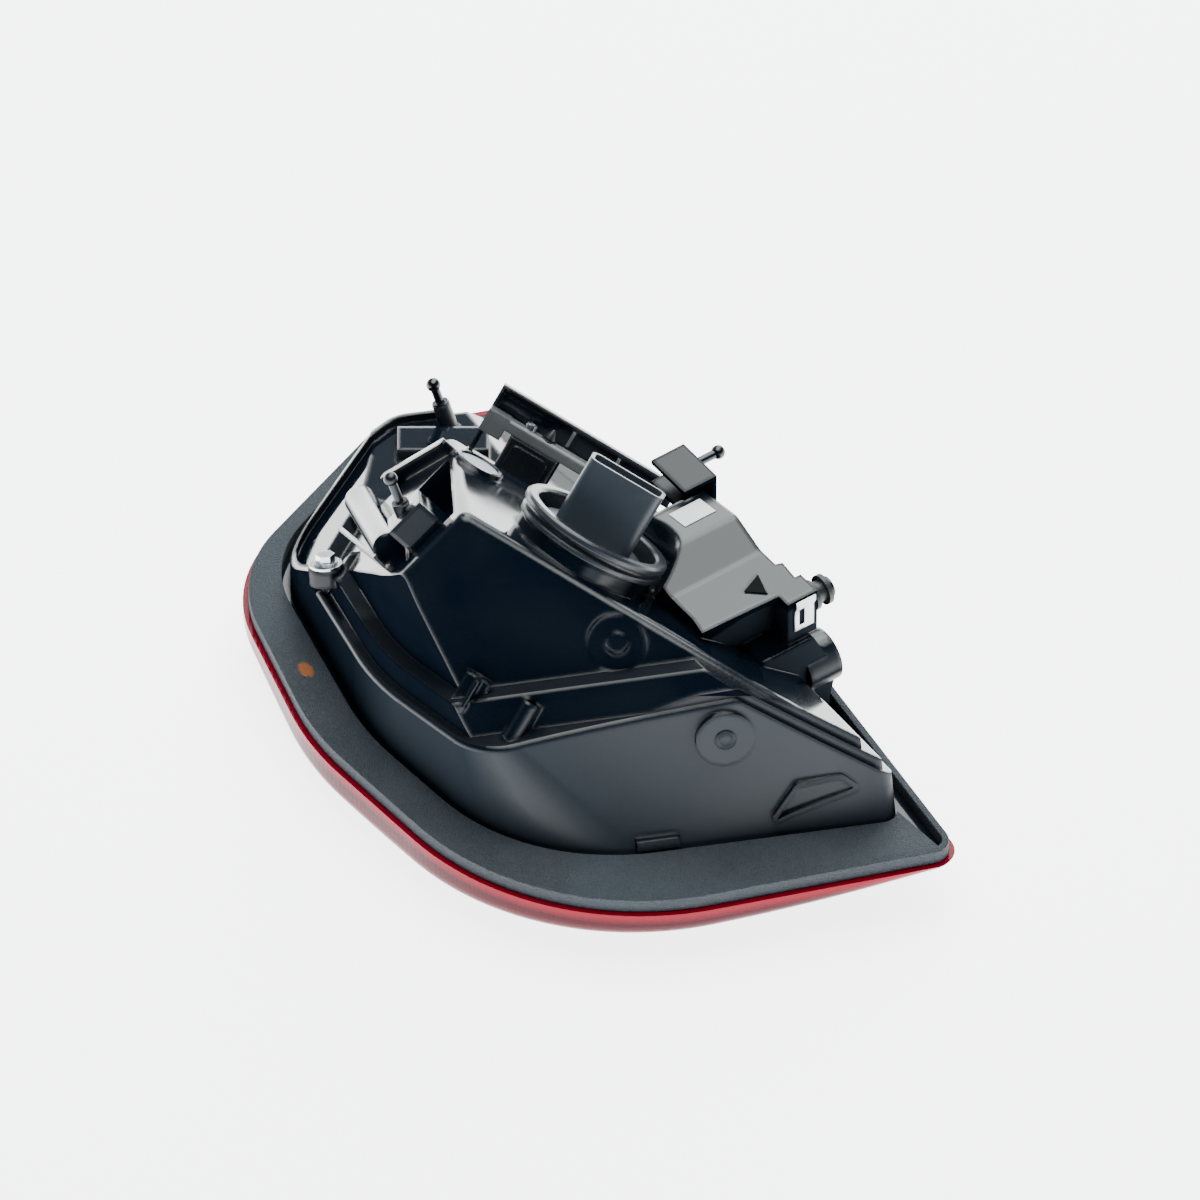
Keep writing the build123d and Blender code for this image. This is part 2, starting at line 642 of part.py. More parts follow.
with BuildPart() as connector_pins:
    pin_foot = NECK_HEIGHT + SHROUD_BASE
    add(block(draw, (NECK_U, NECK_V), (PIN_COUNT * PIN_PITCH, 2 * PIN_PITCH), pin_foot, pin_foot + CARRIER))
    with BuildSketch(draw.offset(pin_foot)):
        with Locations((NECK_U, NECK_V)):
            with GridLocations(PIN_PITCH, PIN_PITCH, PIN_COUNT, 2):
                Rectangle(PIN_SIZE, PIN_SIZE / 2)
    extrude(amount=PIN_HEIGHT)

with BuildPart() as vent_membrane:
    add(disc(draw, (VENT_U, VENT_V), VENT_RADIUS - VENT_RIM - FIT, 0, MEMBRANE))

# Driver module with its cover and screw, in front of the rail
module_v = RAIL_DEPTH - RAIL_REACH - FIT - MODULE_DEPTH / 2
module_top = MODULE_HEIGHT - LOWER_DROP
with BuildPart() as driver_module:
    add(block(draw, (MODULE_U, module_v), (MODULE_LENGTH, MODULE_DEPTH), -LOWER_DROP, module_top))
    fillet(driver_module.edges().filter_by(Axis(draw.origin, draw_dir)), COVER_MARGIN)
    with BuildSketch(rear.offset(module_v - MODULE_DEPTH / 2)):
        with Locations((MODULE_U, LOWER_DROP - MODULE_HEIGHT / 2)):
            RectangleRounded(*PANEL_SIZE, WALL)
    extrude(amount=-PANEL_HEIGHT)

with BuildPart() as module_cover:
    cover_v = module_v + MODULE_DEPTH / 2 - COVER_DEPTH / 2
    cover_u = COVER_START + COVER_LENGTH / 2
    cover_top = module_top + COVER_HEIGHT
    add(block(draw, (cover_u, cover_v), (COVER_LENGTH, COVER_DEPTH), module_top, cover_top))
    fillet(module_cover.faces().sort_by(Axis(draw.origin, draw_dir))[-1].edges(), COVER_MARGIN)
    end_u = COVER_START + COVER_END / 2
    add(block(draw, (end_u, cover_v), (COVER_END, COVER_DEPTH), module_top - COVER_HEIGHT, cover_top))

with BuildPart() as module_screw:
    screw_spot = (MODULE_U - MODULE_LENGTH / 4, cover_v)
    screw_top = cover_top + SCREW_HEAD
    add(disc(draw, screw_spot, SCREW_HEAD, cover_top, screw_top))
    add(disc(draw, screw_spot, SCREW_SOCKET, screw_top - SCREW_SOCKET, screw_top), mode=Mode.SUBTRACT)


def ball_stud(seat, length):
    with BuildPart() as stud:
        add(disc(seat, (0, 0), STUD_SEAT - FIT, 0, STUD_COLLAR))
        add(disc(seat, (0, 0), SHANK_RADIUS, 0, length))
        with Locations(seat.offset(length)):
            Sphere(BALL_RADIUS)
    return stud


right_seat = Plane(
    origin=hump_plane.from_local_coords((STUD_Q, STUD_Z, BRACKET_END)), x_dir=across, z_dir=along
)
left_ball_stud = ball_stud(left_seat.offset(SEAT_REACH), STUD_LENGTH)
rear_ball_stud = ball_stud(rear_seat.offset(SEAT_REACH), REAR_STUD_LENGTH)
right_ball_stud = ball_stud(right_seat, STUD_LENGTH)

# Damper: rubber bush on its block and the steel stud through it, spring clip beside them
damper_spot = (DAMPER_Q, DAMPER_Z)
bush_end = DAMPER_FOOT + DAMPER_LENGTH
with BuildPart() as damper_bush:
    add(disc(hump_plane, damper_spot, DAMPER_RADIUS, DAMPER_FOOT, DAMPER_FOOT + RIB))
    add(disc(hump_plane, damper_spot, DAMPER_RADIUS - RIB, DAMPER_FOOT, bush_end))
    add(disc(hump_plane, damper_spot, DAMPER_RADIUS, bush_end - RIB, bush_end))
    add(disc(hump_plane, damper_spot, SHANK_RADIUS + FIT, DAMPER_FOOT, bush_end), mode=Mode.SUBTRACT)

with BuildPart() as damper_stud:
    add(disc(hump_plane, damper_spot, SHANK_RADIUS, DAMPER_FOOT, bush_end + RIB))
    add(disc(hump_plane, damper_spot, DAMPER_RADIUS - RIB, bush_end, bush_end + RIB))

with BuildPart() as spring_clip:
    clip_level = SHELF_LEVEL - CLIP_THICKNESS - CLIP_HEIGHT / 2
    clip_spot = (DAMPER_Q - DAMPER_BLOCK / 2 - CLIP_THICKNESS / 2, clip_level)
    clip_start = DAMPER_FOOT - CLIP_LENGTH - RIB
    add(block(hump_plane, clip_spot, (CLIP_THICKNESS, CLIP_HEIGHT), clip_start, clip_start + CLIP_LENGTH))
    window = (CLIP_THICKNESS, CLIP_HEIGHT / 2)
    window_end = clip_start + CLIP_LENGTH - WALL
    add(block(hump_plane, clip_spot, window, clip_start + WALL, window_end), mode=Mode.SUBTRACT)

with BuildPart() as flange_screw:
    add(disc(screw_seat, (0, 0), HEX_FLANGE, WASHER_THICKNESS, WASHER_THICKNESS + HEX_FLANGE_THICKNESS))
    with BuildSketch(screw_seat.offset(WASHER_THICKNESS)):
        RegularPolygon(HEX_RADIUS, 6)
    extrude(amount=HEX_HEIGHT)

with BuildPart() as screw_washer:
    add(disc(screw_seat, (0, 0), WASHER_RADIUS, 0, WASHER_THICKNESS))

with BuildPart() as blank_label:
    crest = Vector(HUMP_CREST, CREST_LEVEL)
    fall = Vector(HUMP_BACK, BACK_LEVEL) - crest
    label_mid = crest + fall * ((LABEL_Q - HUMP_CREST) / fall.X)
    label_spot = hump_plane.from_local_coords((label_mid.X, label_mid.Y, LABEL_T))
    label_run = across * fall.X + Vector(0, 0, fall.Y)
    label_plane = Plane(origin=label_spot, x_dir=along, z_dir=along.cross(label_run))
    add(block(label_plane, (0, 0), (LABEL_LENGTH, LABEL_WIDTH), 0, LABEL_THICKNESS))

# Inside, behind the lens: bezel under the flange, light guide and two lamps on the bezel
bezel_bottom = FLANGE_BOTTOM - BEZEL_THICKNESS
with BuildPart() as inner_bezel:
    add(prism(FOOT_CORNERS, BEZEL_MARGIN, bezel_bottom, FLANGE_BOTTOM))
    with BuildSketch(Plane.XY.offset(bezel_bottom)):
        with Locations(BRAKE_LAMP):
            Circle(BRAKE_RADIUS)
        with Locations(REVERSE_LAMP):
            Circle(REVERSE_RADIUS)
    extrude(amount=BEZEL_THICKNESS, mode=Mode.SUBTRACT)

with BuildPart() as tail_light_guide:
    add(prism(FOOT_CORNERS, -GUIDE_SETBACK, FLANGE_BOTTOM, FLANGE_BOTTOM + GUIDE_SIZE))
    add(
        prism(FOOT_CORNERS, -GUIDE_SETBACK - GUIDE_SIZE, FLANGE_BOTTOM, FLANGE_BOTTOM + GUIDE_SIZE),
        mode=Mode.SUBTRACT,
    )
    split(bisect_by=end_cut.offset(-GUIDE_SETBACK), keep=Keep.BOTTOM)


def cup(spot, radius, height):
    with BuildPart() as piece:
        for mode, grow in ((Mode.ADD, LENS_WALL), (Mode.SUBTRACT, 0)):
            with BuildSketch(Plane.XY.offset(FLANGE_BOTTOM)):
                with Locations(spot):
                    Circle(radius + grow)
            with BuildSketch(Plane.XY.offset(FLANGE_BOTTOM + height)):
                with Locations(spot):
                    Circle(radius / 2 + grow)
            loft(mode=mode)
    return piece


brake_reflector = cup(BRAKE_LAMP, BRAKE_RADIUS, BRAKE_HEIGHT)
reverse_reflector = cup(REVERSE_LAMP, REVERSE_RADIUS, REVERSE_HEIGHT)


def board(spot, radius, level):
    with BuildPart() as piece:
        add(disc(Plane.XY, spot, radius / 2 + LENS_WALL, level, level + BOARD_THICKNESS))
    return piece


def emitter(spot, level):
    with BuildPart() as piece:
        add(block(Plane.XY, spot, (EMITTER_SIZE, EMITTER_SIZE), level - BOARD_THICKNESS, level))
    return piece


brake_board = board(BRAKE_LAMP, BRAKE_RADIUS, FLANGE_BOTTOM + BRAKE_HEIGHT)
brake_emitter = emitter(BRAKE_LAMP, FLANGE_BOTTOM + BRAKE_HEIGHT)
reverse_board = board(REVERSE_LAMP, REVERSE_RADIUS, FLANGE_BOTTOM + REVERSE_HEIGHT)
reverse_emitter = emitter(REVERSE_LAMP, FLANGE_BOTTOM + REVERSE_HEIGHT)

with BuildPart() as reflex_reflector:
    add(block(Plane.XY, REFLEX_SPOT, REFLEX_SIZE, bezel_bottom - REFLEX_DEPTH, bezel_bottom))

pieces = {
    "housing": housing,
    "outer_lens": outer_lens,
    "rim_gasket": rim_gasket,
    "connector_seal": connector_seal,
    "connector_shroud": connector_shroud,
    "connector_pins": connector_pins,
    "vent_membrane": vent_membrane,
    "driver_module": driver_module,
    "module_cover": module_cover,
    "module_screw": module_screw,
    "left_ball_stud": left_ball_stud,
    "rear_ball_stud": rear_ball_stud,
    "right_ball_stud": right_ball_stud,
    "damper_bush": damper_bush,
    "damper_stud": damper_stud,
    "flange_screw": flange_screw,
    "screw_washer": screw_washer,
    "blank_label": blank_label,
    "spring_clip": spring_clip,
    "inner_bezel": inner_bezel,
    "tail_light_guide": tail_light_guide,
    "brake_reflector": brake_reflector,
    "brake_board": brake_board,
    "brake_emitter": brake_emitter,
    "reverse_reflector": reverse_reflector,
    "reverse_board": reverse_board,
    "reverse_emitter": reverse_emitter,
    "reflex_reflector": reflex_reflector,
}
# The whole is moved so that its box stands centred on the origin
boxes = [piece.part.bounding_box() for piece in pieces.values()]
mid_x = (min(box.min.X for box in boxes) + max(box.max.X for box in boxes)) / 2
mid_y = (min(box.min.Y for box in boxes) + max(box.max.Y for box in boxes)) / 2
shift = Location((-mid_x, -mid_y, -min(box.min.Z for box in boxes)))
os.makedirs("parts", exist_ok=True)
for name, piece in pieces.items():
    placed = piece.part.moved(shift)
    placed.label = name
    export_step(placed, f"parts/{name}.step")
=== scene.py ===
import math

import bpy
from mathutils import Matrix, Vector


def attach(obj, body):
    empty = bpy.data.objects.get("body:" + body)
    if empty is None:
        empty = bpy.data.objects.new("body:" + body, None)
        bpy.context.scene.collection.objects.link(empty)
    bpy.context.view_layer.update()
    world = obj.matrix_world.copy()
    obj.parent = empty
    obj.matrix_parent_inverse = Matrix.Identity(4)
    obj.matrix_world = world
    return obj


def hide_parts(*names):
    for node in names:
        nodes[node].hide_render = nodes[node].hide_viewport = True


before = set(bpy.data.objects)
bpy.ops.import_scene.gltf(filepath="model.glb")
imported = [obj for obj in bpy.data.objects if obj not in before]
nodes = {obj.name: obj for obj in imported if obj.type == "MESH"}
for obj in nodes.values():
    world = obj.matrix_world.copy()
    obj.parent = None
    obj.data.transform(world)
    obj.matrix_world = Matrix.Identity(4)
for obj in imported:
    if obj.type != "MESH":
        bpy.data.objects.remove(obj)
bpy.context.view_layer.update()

# Housing. One gloss black moulding, drawn out of its tool along the axis of the plug, with
# a faint orange-peel skin, hand smudges and soft edges. Its upright faces, front ledges and
# bracket are spark-eroded and dull. The lowest front-facing walls are dulled too, and their
# colour is mixed towards a paler blue-grey as painted light standing in for the bench's
# reflection.
MIX_FIRST, MIX_SECOND, MIX_COLOUR = 6, 7, 2
skin = bpy.data.node_groups.new("moulding_skin", "ShaderNodeTree")
skin.interface.new_socket("Grain Scale", in_out="INPUT", socket_type="NodeSocketFloat")
skin.interface.new_socket("Smudge Scale", in_out="INPUT", socket_type="NodeSocketFloat")
skin.interface.new_socket("Grain", in_out="OUTPUT", socket_type="NodeSocketFloat")
skin.interface.new_socket("Smudge", in_out="OUTPUT", socket_type="NodeSocketFloat")
skin.interface.new_socket("Scuff", in_out="OUTPUT", socket_type="NodeSocketFloat")
skin_in = skin.nodes.new("NodeGroupInput")
skin_out = skin.nodes.new("NodeGroupOutput")
skin_place = skin.nodes.new("ShaderNodeTexCoord")
skin_grain = skin.nodes.new("ShaderNodeTexNoise")
skin_grain.inputs["Detail"].default_value = 3
skin_smudge = skin.nodes.new("ShaderNodeTexNoise")
skin_smudge.inputs["Detail"].default_value = 6
skin_smudge.inputs["Distortion"].default_value = 0.6
skin_spread = skin.nodes.new("ShaderNodeMapRange")
skin_spread.inputs["From Min"].default_value = 0.42
skin_spread.inputs["From Max"].default_value = 0.72
skin_stretch = skin.nodes.new("ShaderNodeMapping")
skin_stretch.inputs["Rotation"].default_value = (0.3, 0.5, 0.9)
skin_stretch.inputs["Scale"].default_value = (14, 260, 260)
skin_streak = skin.nodes.new("ShaderNodeTexNoise")
skin_streak.inputs["Scale"].default_value = 1
skin_streak.inputs["Detail"].default_value = 2
skin_scuff = skin.nodes.new("ShaderNodeMapRange")
skin_scuff.inputs["From Min"].default_value = 0.66
skin_scuff.inputs["From Max"].default_value = 0.76
skin.links.new(skin_place.outputs["Object"], skin_grain.inputs["Vector"])
skin.links.new(skin_place.outputs["Object"], skin_smudge.inputs["Vector"])
skin.links.new(skin_place.outputs["Object"], skin_stretch.inputs["Vector"])
skin.links.new(skin_stretch.outputs["Vector"], skin_streak.inputs["Vector"])
skin.links.new(skin_in.outputs["Grain Scale"], skin_grain.inputs["Scale"])
skin.links.new(skin_in.outputs["Smudge Scale"], skin_smudge.inputs["Scale"])
skin.links.new(skin_smudge.outputs["Fac"], skin_spread.inputs["Value"])
skin.links.new(skin_streak.outputs["Fac"], skin_scuff.inputs["Value"])
skin.links.new(skin_grain.outputs["Fac"], skin_out.inputs["Grain"])
skin.links.new(skin_spread.outputs["Result"], skin_out.inputs["Smudge"])
skin.links.new(skin_scuff.outputs["Result"], skin_out.inputs["Scuff"])


def moulded_finish(
    name, clean, dusty, gloss, dull, grain_scale, grain_depth, edge_round, metallic=0.0
):
    finish = bpy.data.materials.new(name)
    finish.use_nodes = True
    tree = finish.node_tree
    surface = tree.nodes["Principled BSDF"]
    surface.inputs["Metallic"].default_value = metallic
    effect = tree.nodes.new("ShaderNodeGroup")
    effect.node_tree = skin
    effect.inputs["Grain Scale"].default_value = grain_scale
    effect.inputs["Smudge Scale"].default_value = 16
    tint = tree.nodes.new("ShaderNodeMix")
    tint.data_type = "RGBA"
    tint.inputs[MIX_FIRST].default_value = (*clean, 1)
    tint.inputs[MIX_SECOND].default_value = (*dusty, 1)
    marks = tree.nodes.new("ShaderNodeMath")
    marks.operation = "MAXIMUM"
    sheen = tree.nodes.new("ShaderNodeMapRange")
    sheen.inputs["To Min"].default_value = gloss
    sheen.inputs["To Max"].default_value = dull
    edges = tree.nodes.new("ShaderNodeBevel")
    edges.samples = 4
    edges.inputs["Radius"].default_value = edge_round
    relief = tree.nodes.new("ShaderNodeBump")
    relief.inputs["Distance"].default_value = grain_depth
    tree.links.new(effect.outputs["Smudge"], tint.inputs[0])
    tree.links.new(tint.outputs[MIX_COLOUR], surface.inputs["Base Color"])
    tree.links.new(effect.outputs["Smudge"], marks.inputs[0])
    tree.links.new(effect.outputs["Scuff"], marks.inputs[1])
    tree.links.new(marks.outputs["Value"], sheen.inputs["Value"])
    tree.links.new(sheen.outputs["Result"], surface.inputs["Roughness"])
    tree.links.new(effect.outputs["Grain"], relief.inputs["Height"])
    tree.links.new(edges.outputs["Normal"], relief.inputs["Normal"])
    tree.links.new(relief.outputs["Normal"], surface.inputs["Normal"])
    return finish


def dress(name, finish):
    nodes[name].data.materials.clear()
    nodes[name].data.materials.append(finish)


BRACKET_SPOT = (0.0433, 0.039, 0.1197)
BRACKET_SPAN = 0.028
BRACKET_FADE = 0.004
BRACKET_DULL = 0.45
LEDGE_LEAN = (-0.196, 0, 0.981)
LEDGE_LEVEL = 0.0945
LEDGE_FADE = 0.002
LEDGE_DULL = 0.85
# Painted light: on the lowest front-facing walls the base colour is mixed towards the paler tint
# below, standing in for the bench's reflection; the same weight also dulls these walls.
FRONT_DULL_AND_LIGHT = 0.6
FRONT_PAINTED_LIGHT = (0.028, 0.035, 0.043, 1)
housing_finish = moulded_finish(
    "housing_gloss_black",
    clean=(0.0018, 0.004, 0.008),
    dusty=(0.004, 0.0065, 0.0105),
    gloss=0.06,
    dull=0.14,
    grain_scale=420,
    grain_depth=0.000012,
    edge_round=0.0034,
)
housing_tree = housing_finish.node_tree
housing_surface = housing_tree.nodes["Principled BSDF"]
housing_tint = housing_surface.inputs["Base Color"].links[0].from_socket
housing_sheen = housing_surface.inputs["Roughness"].links[0].from_socket
housing_place = housing_tree.nodes.new("ShaderNodeTexCoord")
draft_facing = housing_tree.nodes.new("ShaderNodeNewGeometry")
draft_axes = housing_tree.nodes.new("ShaderNodeSeparateXYZ")
draft_tilt = housing_tree.nodes.new("ShaderNodeMath")
draft_tilt.operation = "ABSOLUTE"
draft_mask = housing_tree.nodes.new("ShaderNodeMapRange")
draft_mask.inputs["From Min"].default_value = 0.03
draft_mask.inputs["From Max"].default_value = 0.5
draft_mask.inputs["To Min"].default_value = 1
draft_mask.inputs["To Max"].default_value = 0
bracket_range = housing_tree.nodes.new("ShaderNodeVectorMath")
bracket_range.operation = "DISTANCE"
bracket_range.inputs[1].default_value = BRACKET_SPOT
bracket_mask = housing_tree.nodes.new("ShaderNodeMapRange")
bracket_mask.inputs["From Min"].default_value = BRACKET_SPAN - BRACKET_FADE
bracket_mask.inputs["From Max"].default_value = BRACKET_SPAN
bracket_mask.inputs["To Min"].default_value = BRACKET_DULL
bracket_mask.inputs["To Max"].default_value = 0
ledge_height = housing_tree.nodes.new("ShaderNodeVectorMath")
ledge_height.operation = "DOT_PRODUCT"
ledge_height.inputs[1].default_value = LEDGE_LEAN
lower_mask = housing_tree.nodes.new("ShaderNodeMapRange")
lower_mask.inputs["From Min"].default_value = LEDGE_LEVEL - LEDGE_FADE
lower_mask.inputs["From Max"].default_value = LEDGE_LEVEL
lower_mask.inputs["To Min"].default_value = 1
lower_mask.inputs["To Max"].default_value = 0
front_mask = housing_tree.nodes.new("ShaderNodeMapRange")
front_mask.inputs["From Min"].default_value = -0.62
front_mask.inputs["From Max"].default_value = -0.35
front_mask.inputs["To Min"].default_value = FRONT_DULL_AND_LIGHT
front_mask.inputs["To Max"].default_value = 0
# Painted light: the paler tint is mixed in where the lower mask and the front-facing mask meet.
front_dull_and_light_mask = housing_tree.nodes.new("ShaderNodeMath")
front_dull_and_light_mask.operation = "MULTIPLY"
front_painted_light_tint = housing_tree.nodes.new("ShaderNodeMix")
front_painted_light_tint.data_type = "RGBA"
front_painted_light_tint.inputs[MIX_SECOND].default_value = FRONT_PAINTED_LIGHT
ledge_facing = housing_tree.nodes.new("ShaderNodeVectorMath")
ledge_facing.operation = "DOT_PRODUCT"
ledge_facing.inputs[1].default_value = LEDGE_LEAN
ledge_flat = housing_tree.nodes.new("ShaderNodeMapRange")
ledge_flat.inputs["From Min"].default_value = 0.985
ledge_flat.inputs["From Max"].default_value = 0.997
ledge_flat.inputs["To Max"].default_value = LEDGE_DULL
ledge_place = housing_tree.nodes.new("ShaderNodeSeparateXYZ")
ledge_front = housing_tree.nodes.new("ShaderNodeMapRange")
ledge_front.inputs["From Min"].default_value = -0.03
ledge_front.inputs["From Max"].default_value = -0.01
ledge_front.inputs["To Min"].default_value = 1
ledge_front.inputs["To Max"].default_value = 0
ledge_mask = housing_tree.nodes.new("ShaderNodeMath")
ledge_mask.operation = "MULTIPLY"
dull_grain = housing_tree.nodes.new("ShaderNodeMapRange")
dull_grain.inputs["To Max"].default_value = 0.55
dull_sheen = housing_tree.nodes.new("ShaderNodeMath")
dull_sheen.operation = "MAXIMUM"
dull_shine = housing_tree.nodes.new("ShaderNodeMapRange")
dull_shine.inputs["To Min"].default_value = 0.5
dull_shine.inputs["To Max"].default_value = 0
warp = housing_tree.nodes.new("ShaderNodeTexNoise")
warp.inputs["Scale"].default_value = 9
warp.inputs["Detail"].default_value = 0
warp_relief = housing_tree.nodes.new("ShaderNodeBump")
warp_relief.inputs["Distance"].default_value = 0.003
housing_relief = housing_surface.inputs["Normal"].links[0].from_node
housing_edges = housing_relief.inputs["Normal"].links[0].from_socket
housing_tree.links.new(housing_place.outputs["Object"], warp.inputs["Vector"])
housing_tree.links.new(warp.outputs["Fac"], warp_relief.inputs["Height"])
housing_tree.links.new(housing_edges, warp_relief.inputs["Normal"])
housing_tree.links.new(warp_relief.outputs["Normal"], housing_relief.inputs["Normal"])
housing_tree.links.new(draft_facing.outputs["Normal"], draft_axes.inputs["Vector"])
housing_tree.links.new(draft_axes.outputs["Z"], draft_tilt.inputs[0])
housing_tree.links.new(draft_tilt.outputs["Value"], draft_mask.inputs["Value"])
housing_tree.links.new(housing_place.outputs["Object"], bracket_range.inputs[0])
housing_tree.links.new(bracket_range.outputs["Value"], bracket_mask.inputs["Value"])
housing_tree.links.new(housing_place.outputs["Object"], ledge_height.inputs[0])
housing_tree.links.new(ledge_height.outputs["Value"], lower_mask.inputs["Value"])
housing_tree.links.new(draft_axes.outputs["Y"], front_mask.inputs["Value"])
housing_tree.links.new(lower_mask.outputs["Result"], front_dull_and_light_mask.inputs[0])
housing_tree.links.new(front_mask.outputs["Result"], front_dull_and_light_mask.inputs[1])
housing_tree.links.new(front_dull_and_light_mask.outputs["Value"], front_painted_light_tint.inputs[0])
housing_tree.links.new(housing_tint, front_painted_light_tint.inputs[MIX_FIRST])
housing_tree.links.new(front_painted_light_tint.outputs[MIX_COLOUR], housing_surface.inputs["Base Color"])
housing_tree.links.new(draft_facing.outputs["Normal"], ledge_facing.inputs[0])
housing_tree.links.new(ledge_facing.outputs["Value"], ledge_flat.inputs["Value"])
housing_tree.links.new(housing_place.outputs["Object"], ledge_place.inputs["Vector"])
housing_tree.links.new(ledge_place.outputs["Y"], ledge_front.inputs["Value"])
housing_tree.links.new(ledge_flat.outputs["Result"], ledge_mask.inputs[0])
housing_tree.links.new(ledge_front.outputs["Result"], ledge_mask.inputs[1])
dull_amount = draft_mask.outputs["Result"]
for patch in (
    bracket_mask.outputs["Result"],
    front_dull_and_light_mask.outputs["Value"],
    ledge_mask.outputs["Value"],
):
    widest = housing_tree.nodes.new("ShaderNodeMath")
    widest.operation = "MAXIMUM"
    housing_tree.links.new(dull_amount, widest.inputs[0])
    housing_tree.links.new(patch, widest.inputs[1])
    dull_amount = widest.outputs["Value"]
housing_tree.links.new(dull_amount, dull_grain.inputs["Value"])
housing_tree.links.new(dull_grain.outputs["Result"], dull_sheen.inputs[0])
housing_tree.links.new(housing_sheen, dull_sheen.inputs[1])
housing_tree.links.new(dull_sheen.outputs["Value"], housing_surface.inputs["Roughness"])
housing_tree.links.new(dull_amount, dull_shine.inputs["Value"])
housing_tree.links.new(dull_shine.outputs["Result"], housing_surface.inputs["Specular IOR Level"])
dress("housing", housing_finish)

# Date mark. The moulder's round insert left a disc on the right-hand front wall: its raised
# middle button, with a shallow dish in its face, is part of the same moulding.
BUTTON_SPOT = (0.0638, -0.1154, 0.0911)
BUTTON_RADIUS = 0.0055
BUTTON_HEIGHT = 0.0012
BUTTON_RING = BUTTON_RADIUS / 3
BUTTON_SLOPE = BUTTON_RADIUS / 12
BUTTON_DISH = BUTTON_HEIGHT / 3
WALL_HEADING = math.radians(-79.5)
WALL_TILT = math.radians(75.2)
bpy.ops.object.select_all(action="DESELECT")
bpy.ops.mesh.primitive_cylinder_add(vertices=64, radius=BUTTON_RADIUS, depth=BUTTON_HEIGHT)
date_button = bpy.context.object
date_button.name = "date_button"
bpy.ops.object.mode_set(mode="EDIT")
bpy.ops.mesh.select_all(action="DESELECT")
bpy.ops.object.mode_set(mode="OBJECT")
for face in date_button.data.polygons:
    face.select = face.normal.z > 0.9
bpy.ops.object.mode_set(mode="EDIT")
bpy.ops.mesh.inset(thickness=BUTTON_RING)
bpy.ops.mesh.inset(thickness=BUTTON_SLOPE, depth=-BUTTON_DISH)
bpy.ops.mesh.select_all(action="SELECT")
bpy.ops.transform.rotate(value=-WALL_TILT, orient_axis="Y", center_override=(0, 0, 0))
bpy.ops.transform.rotate(value=-WALL_HEADING, orient_axis="Z", center_override=(0, 0, 0))
bpy.ops.transform.translate(value=BUTTON_SPOT)
bpy.ops.object.mode_set(mode="OBJECT")
button_edge = date_button.modifiers.new("button_edge", "BEVEL")
button_edge.width = 0.00015
button_edge.segments = 2
button_edge.limit_method = "ANGLE"
bpy.ops.object.modifier_apply(modifier="button_edge")
bpy.ops.object.shade_smooth_by_angle(angle=math.radians(35))
date_button.data.materials.append(housing_finish)
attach(date_button, "root")

# Outer lens. A deep crimson acrylic moulding welded to the housing's flange, with fine
# upright optic ribs inside. Its colour is banded by height as painted light and shade: brightest
# crimson at the edge by the flange and painted shade darkest toward the bench. The bulge
# below it picks up the bench.
lens_finish = bpy.data.materials.new("lens_crimson_acrylic")
lens_finish.use_nodes = True
lens_tree = lens_finish.node_tree
lens_surface = lens_tree.nodes["Principled BSDF"]
lens_surface.inputs["Roughness"].default_value = 0.16
lens_surface.inputs["IOR"].default_value = 1.49
lens_surface.inputs["Transmission Weight"].default_value = 0.2
lens_surface.inputs["Specular IOR Level"].default_value = 0.08
lens_place = lens_tree.nodes.new("ShaderNodeTexCoord")
lens_axes = lens_tree.nodes.new("ShaderNodeSeparateXYZ")
# Painted light and shade: the ramp bands the one acrylic by height, brightest crimson at the rim
# and darkest toward the bench.
lens_band = lens_tree.nodes.new("ShaderNodeMapRange")
lens_band.inputs["From Min"].default_value = 0.01
lens_band.inputs["From Max"].default_value = 0.031
lens_light_and_shade_ramp = lens_tree.nodes.new("ShaderNodeValToRGB")
lens_light_and_shade_ramp.color_ramp.elements[0].position = 0.15
lens_light_and_shade_ramp.color_ramp.elements[0].color = (0.04, 0.007, 0.012, 1)
lens_light_and_shade_ramp.color_ramp.elements[1].position = 0.92
lens_light_and_shade_ramp.color_ramp.elements[1].color = (0.3, 0.0006, 0.016, 1)
for height, colour in ((0.42, (0.13, 0.006, 0.014, 1)), (0.7, (0.06, 0.0008, 0.007, 1))):
    lens_light_and_shade_ramp.color_ramp.elements.new(height).color = colour
lens_ribs = lens_tree.nodes.new("ShaderNodeTexWave")
lens_ribs.bands_direction = "X"
lens_ribs.inputs["Scale"].default_value = 150
lens_relief = lens_tree.nodes.new("ShaderNodeBump")
lens_relief.inputs["Strength"].default_value = 0.25
lens_relief.inputs["Distance"].default_value = 0.0001
lens_tree.links.new(lens_place.outputs["Object"], lens_axes.inputs["Vector"])
lens_tree.links.new(lens_axes.outputs["Z"], lens_band.inputs["Value"])
lens_tree.links.new(lens_band.outputs["Result"], lens_light_and_shade_ramp.inputs["Fac"])
lens_tree.links.new(lens_light_and_shade_ramp.outputs["Color"], lens_surface.inputs["Base Color"])
lens_tree.links.new(lens_place.outputs["Object"], lens_ribs.inputs["Vector"])
lens_tree.links.new(lens_ribs.outputs["Fac"], lens_relief.inputs["Height"])
lens_tree.links.new(lens_relief.outputs["Normal"], lens_surface.inputs["Normal"])
dress("outer_lens", lens_finish)

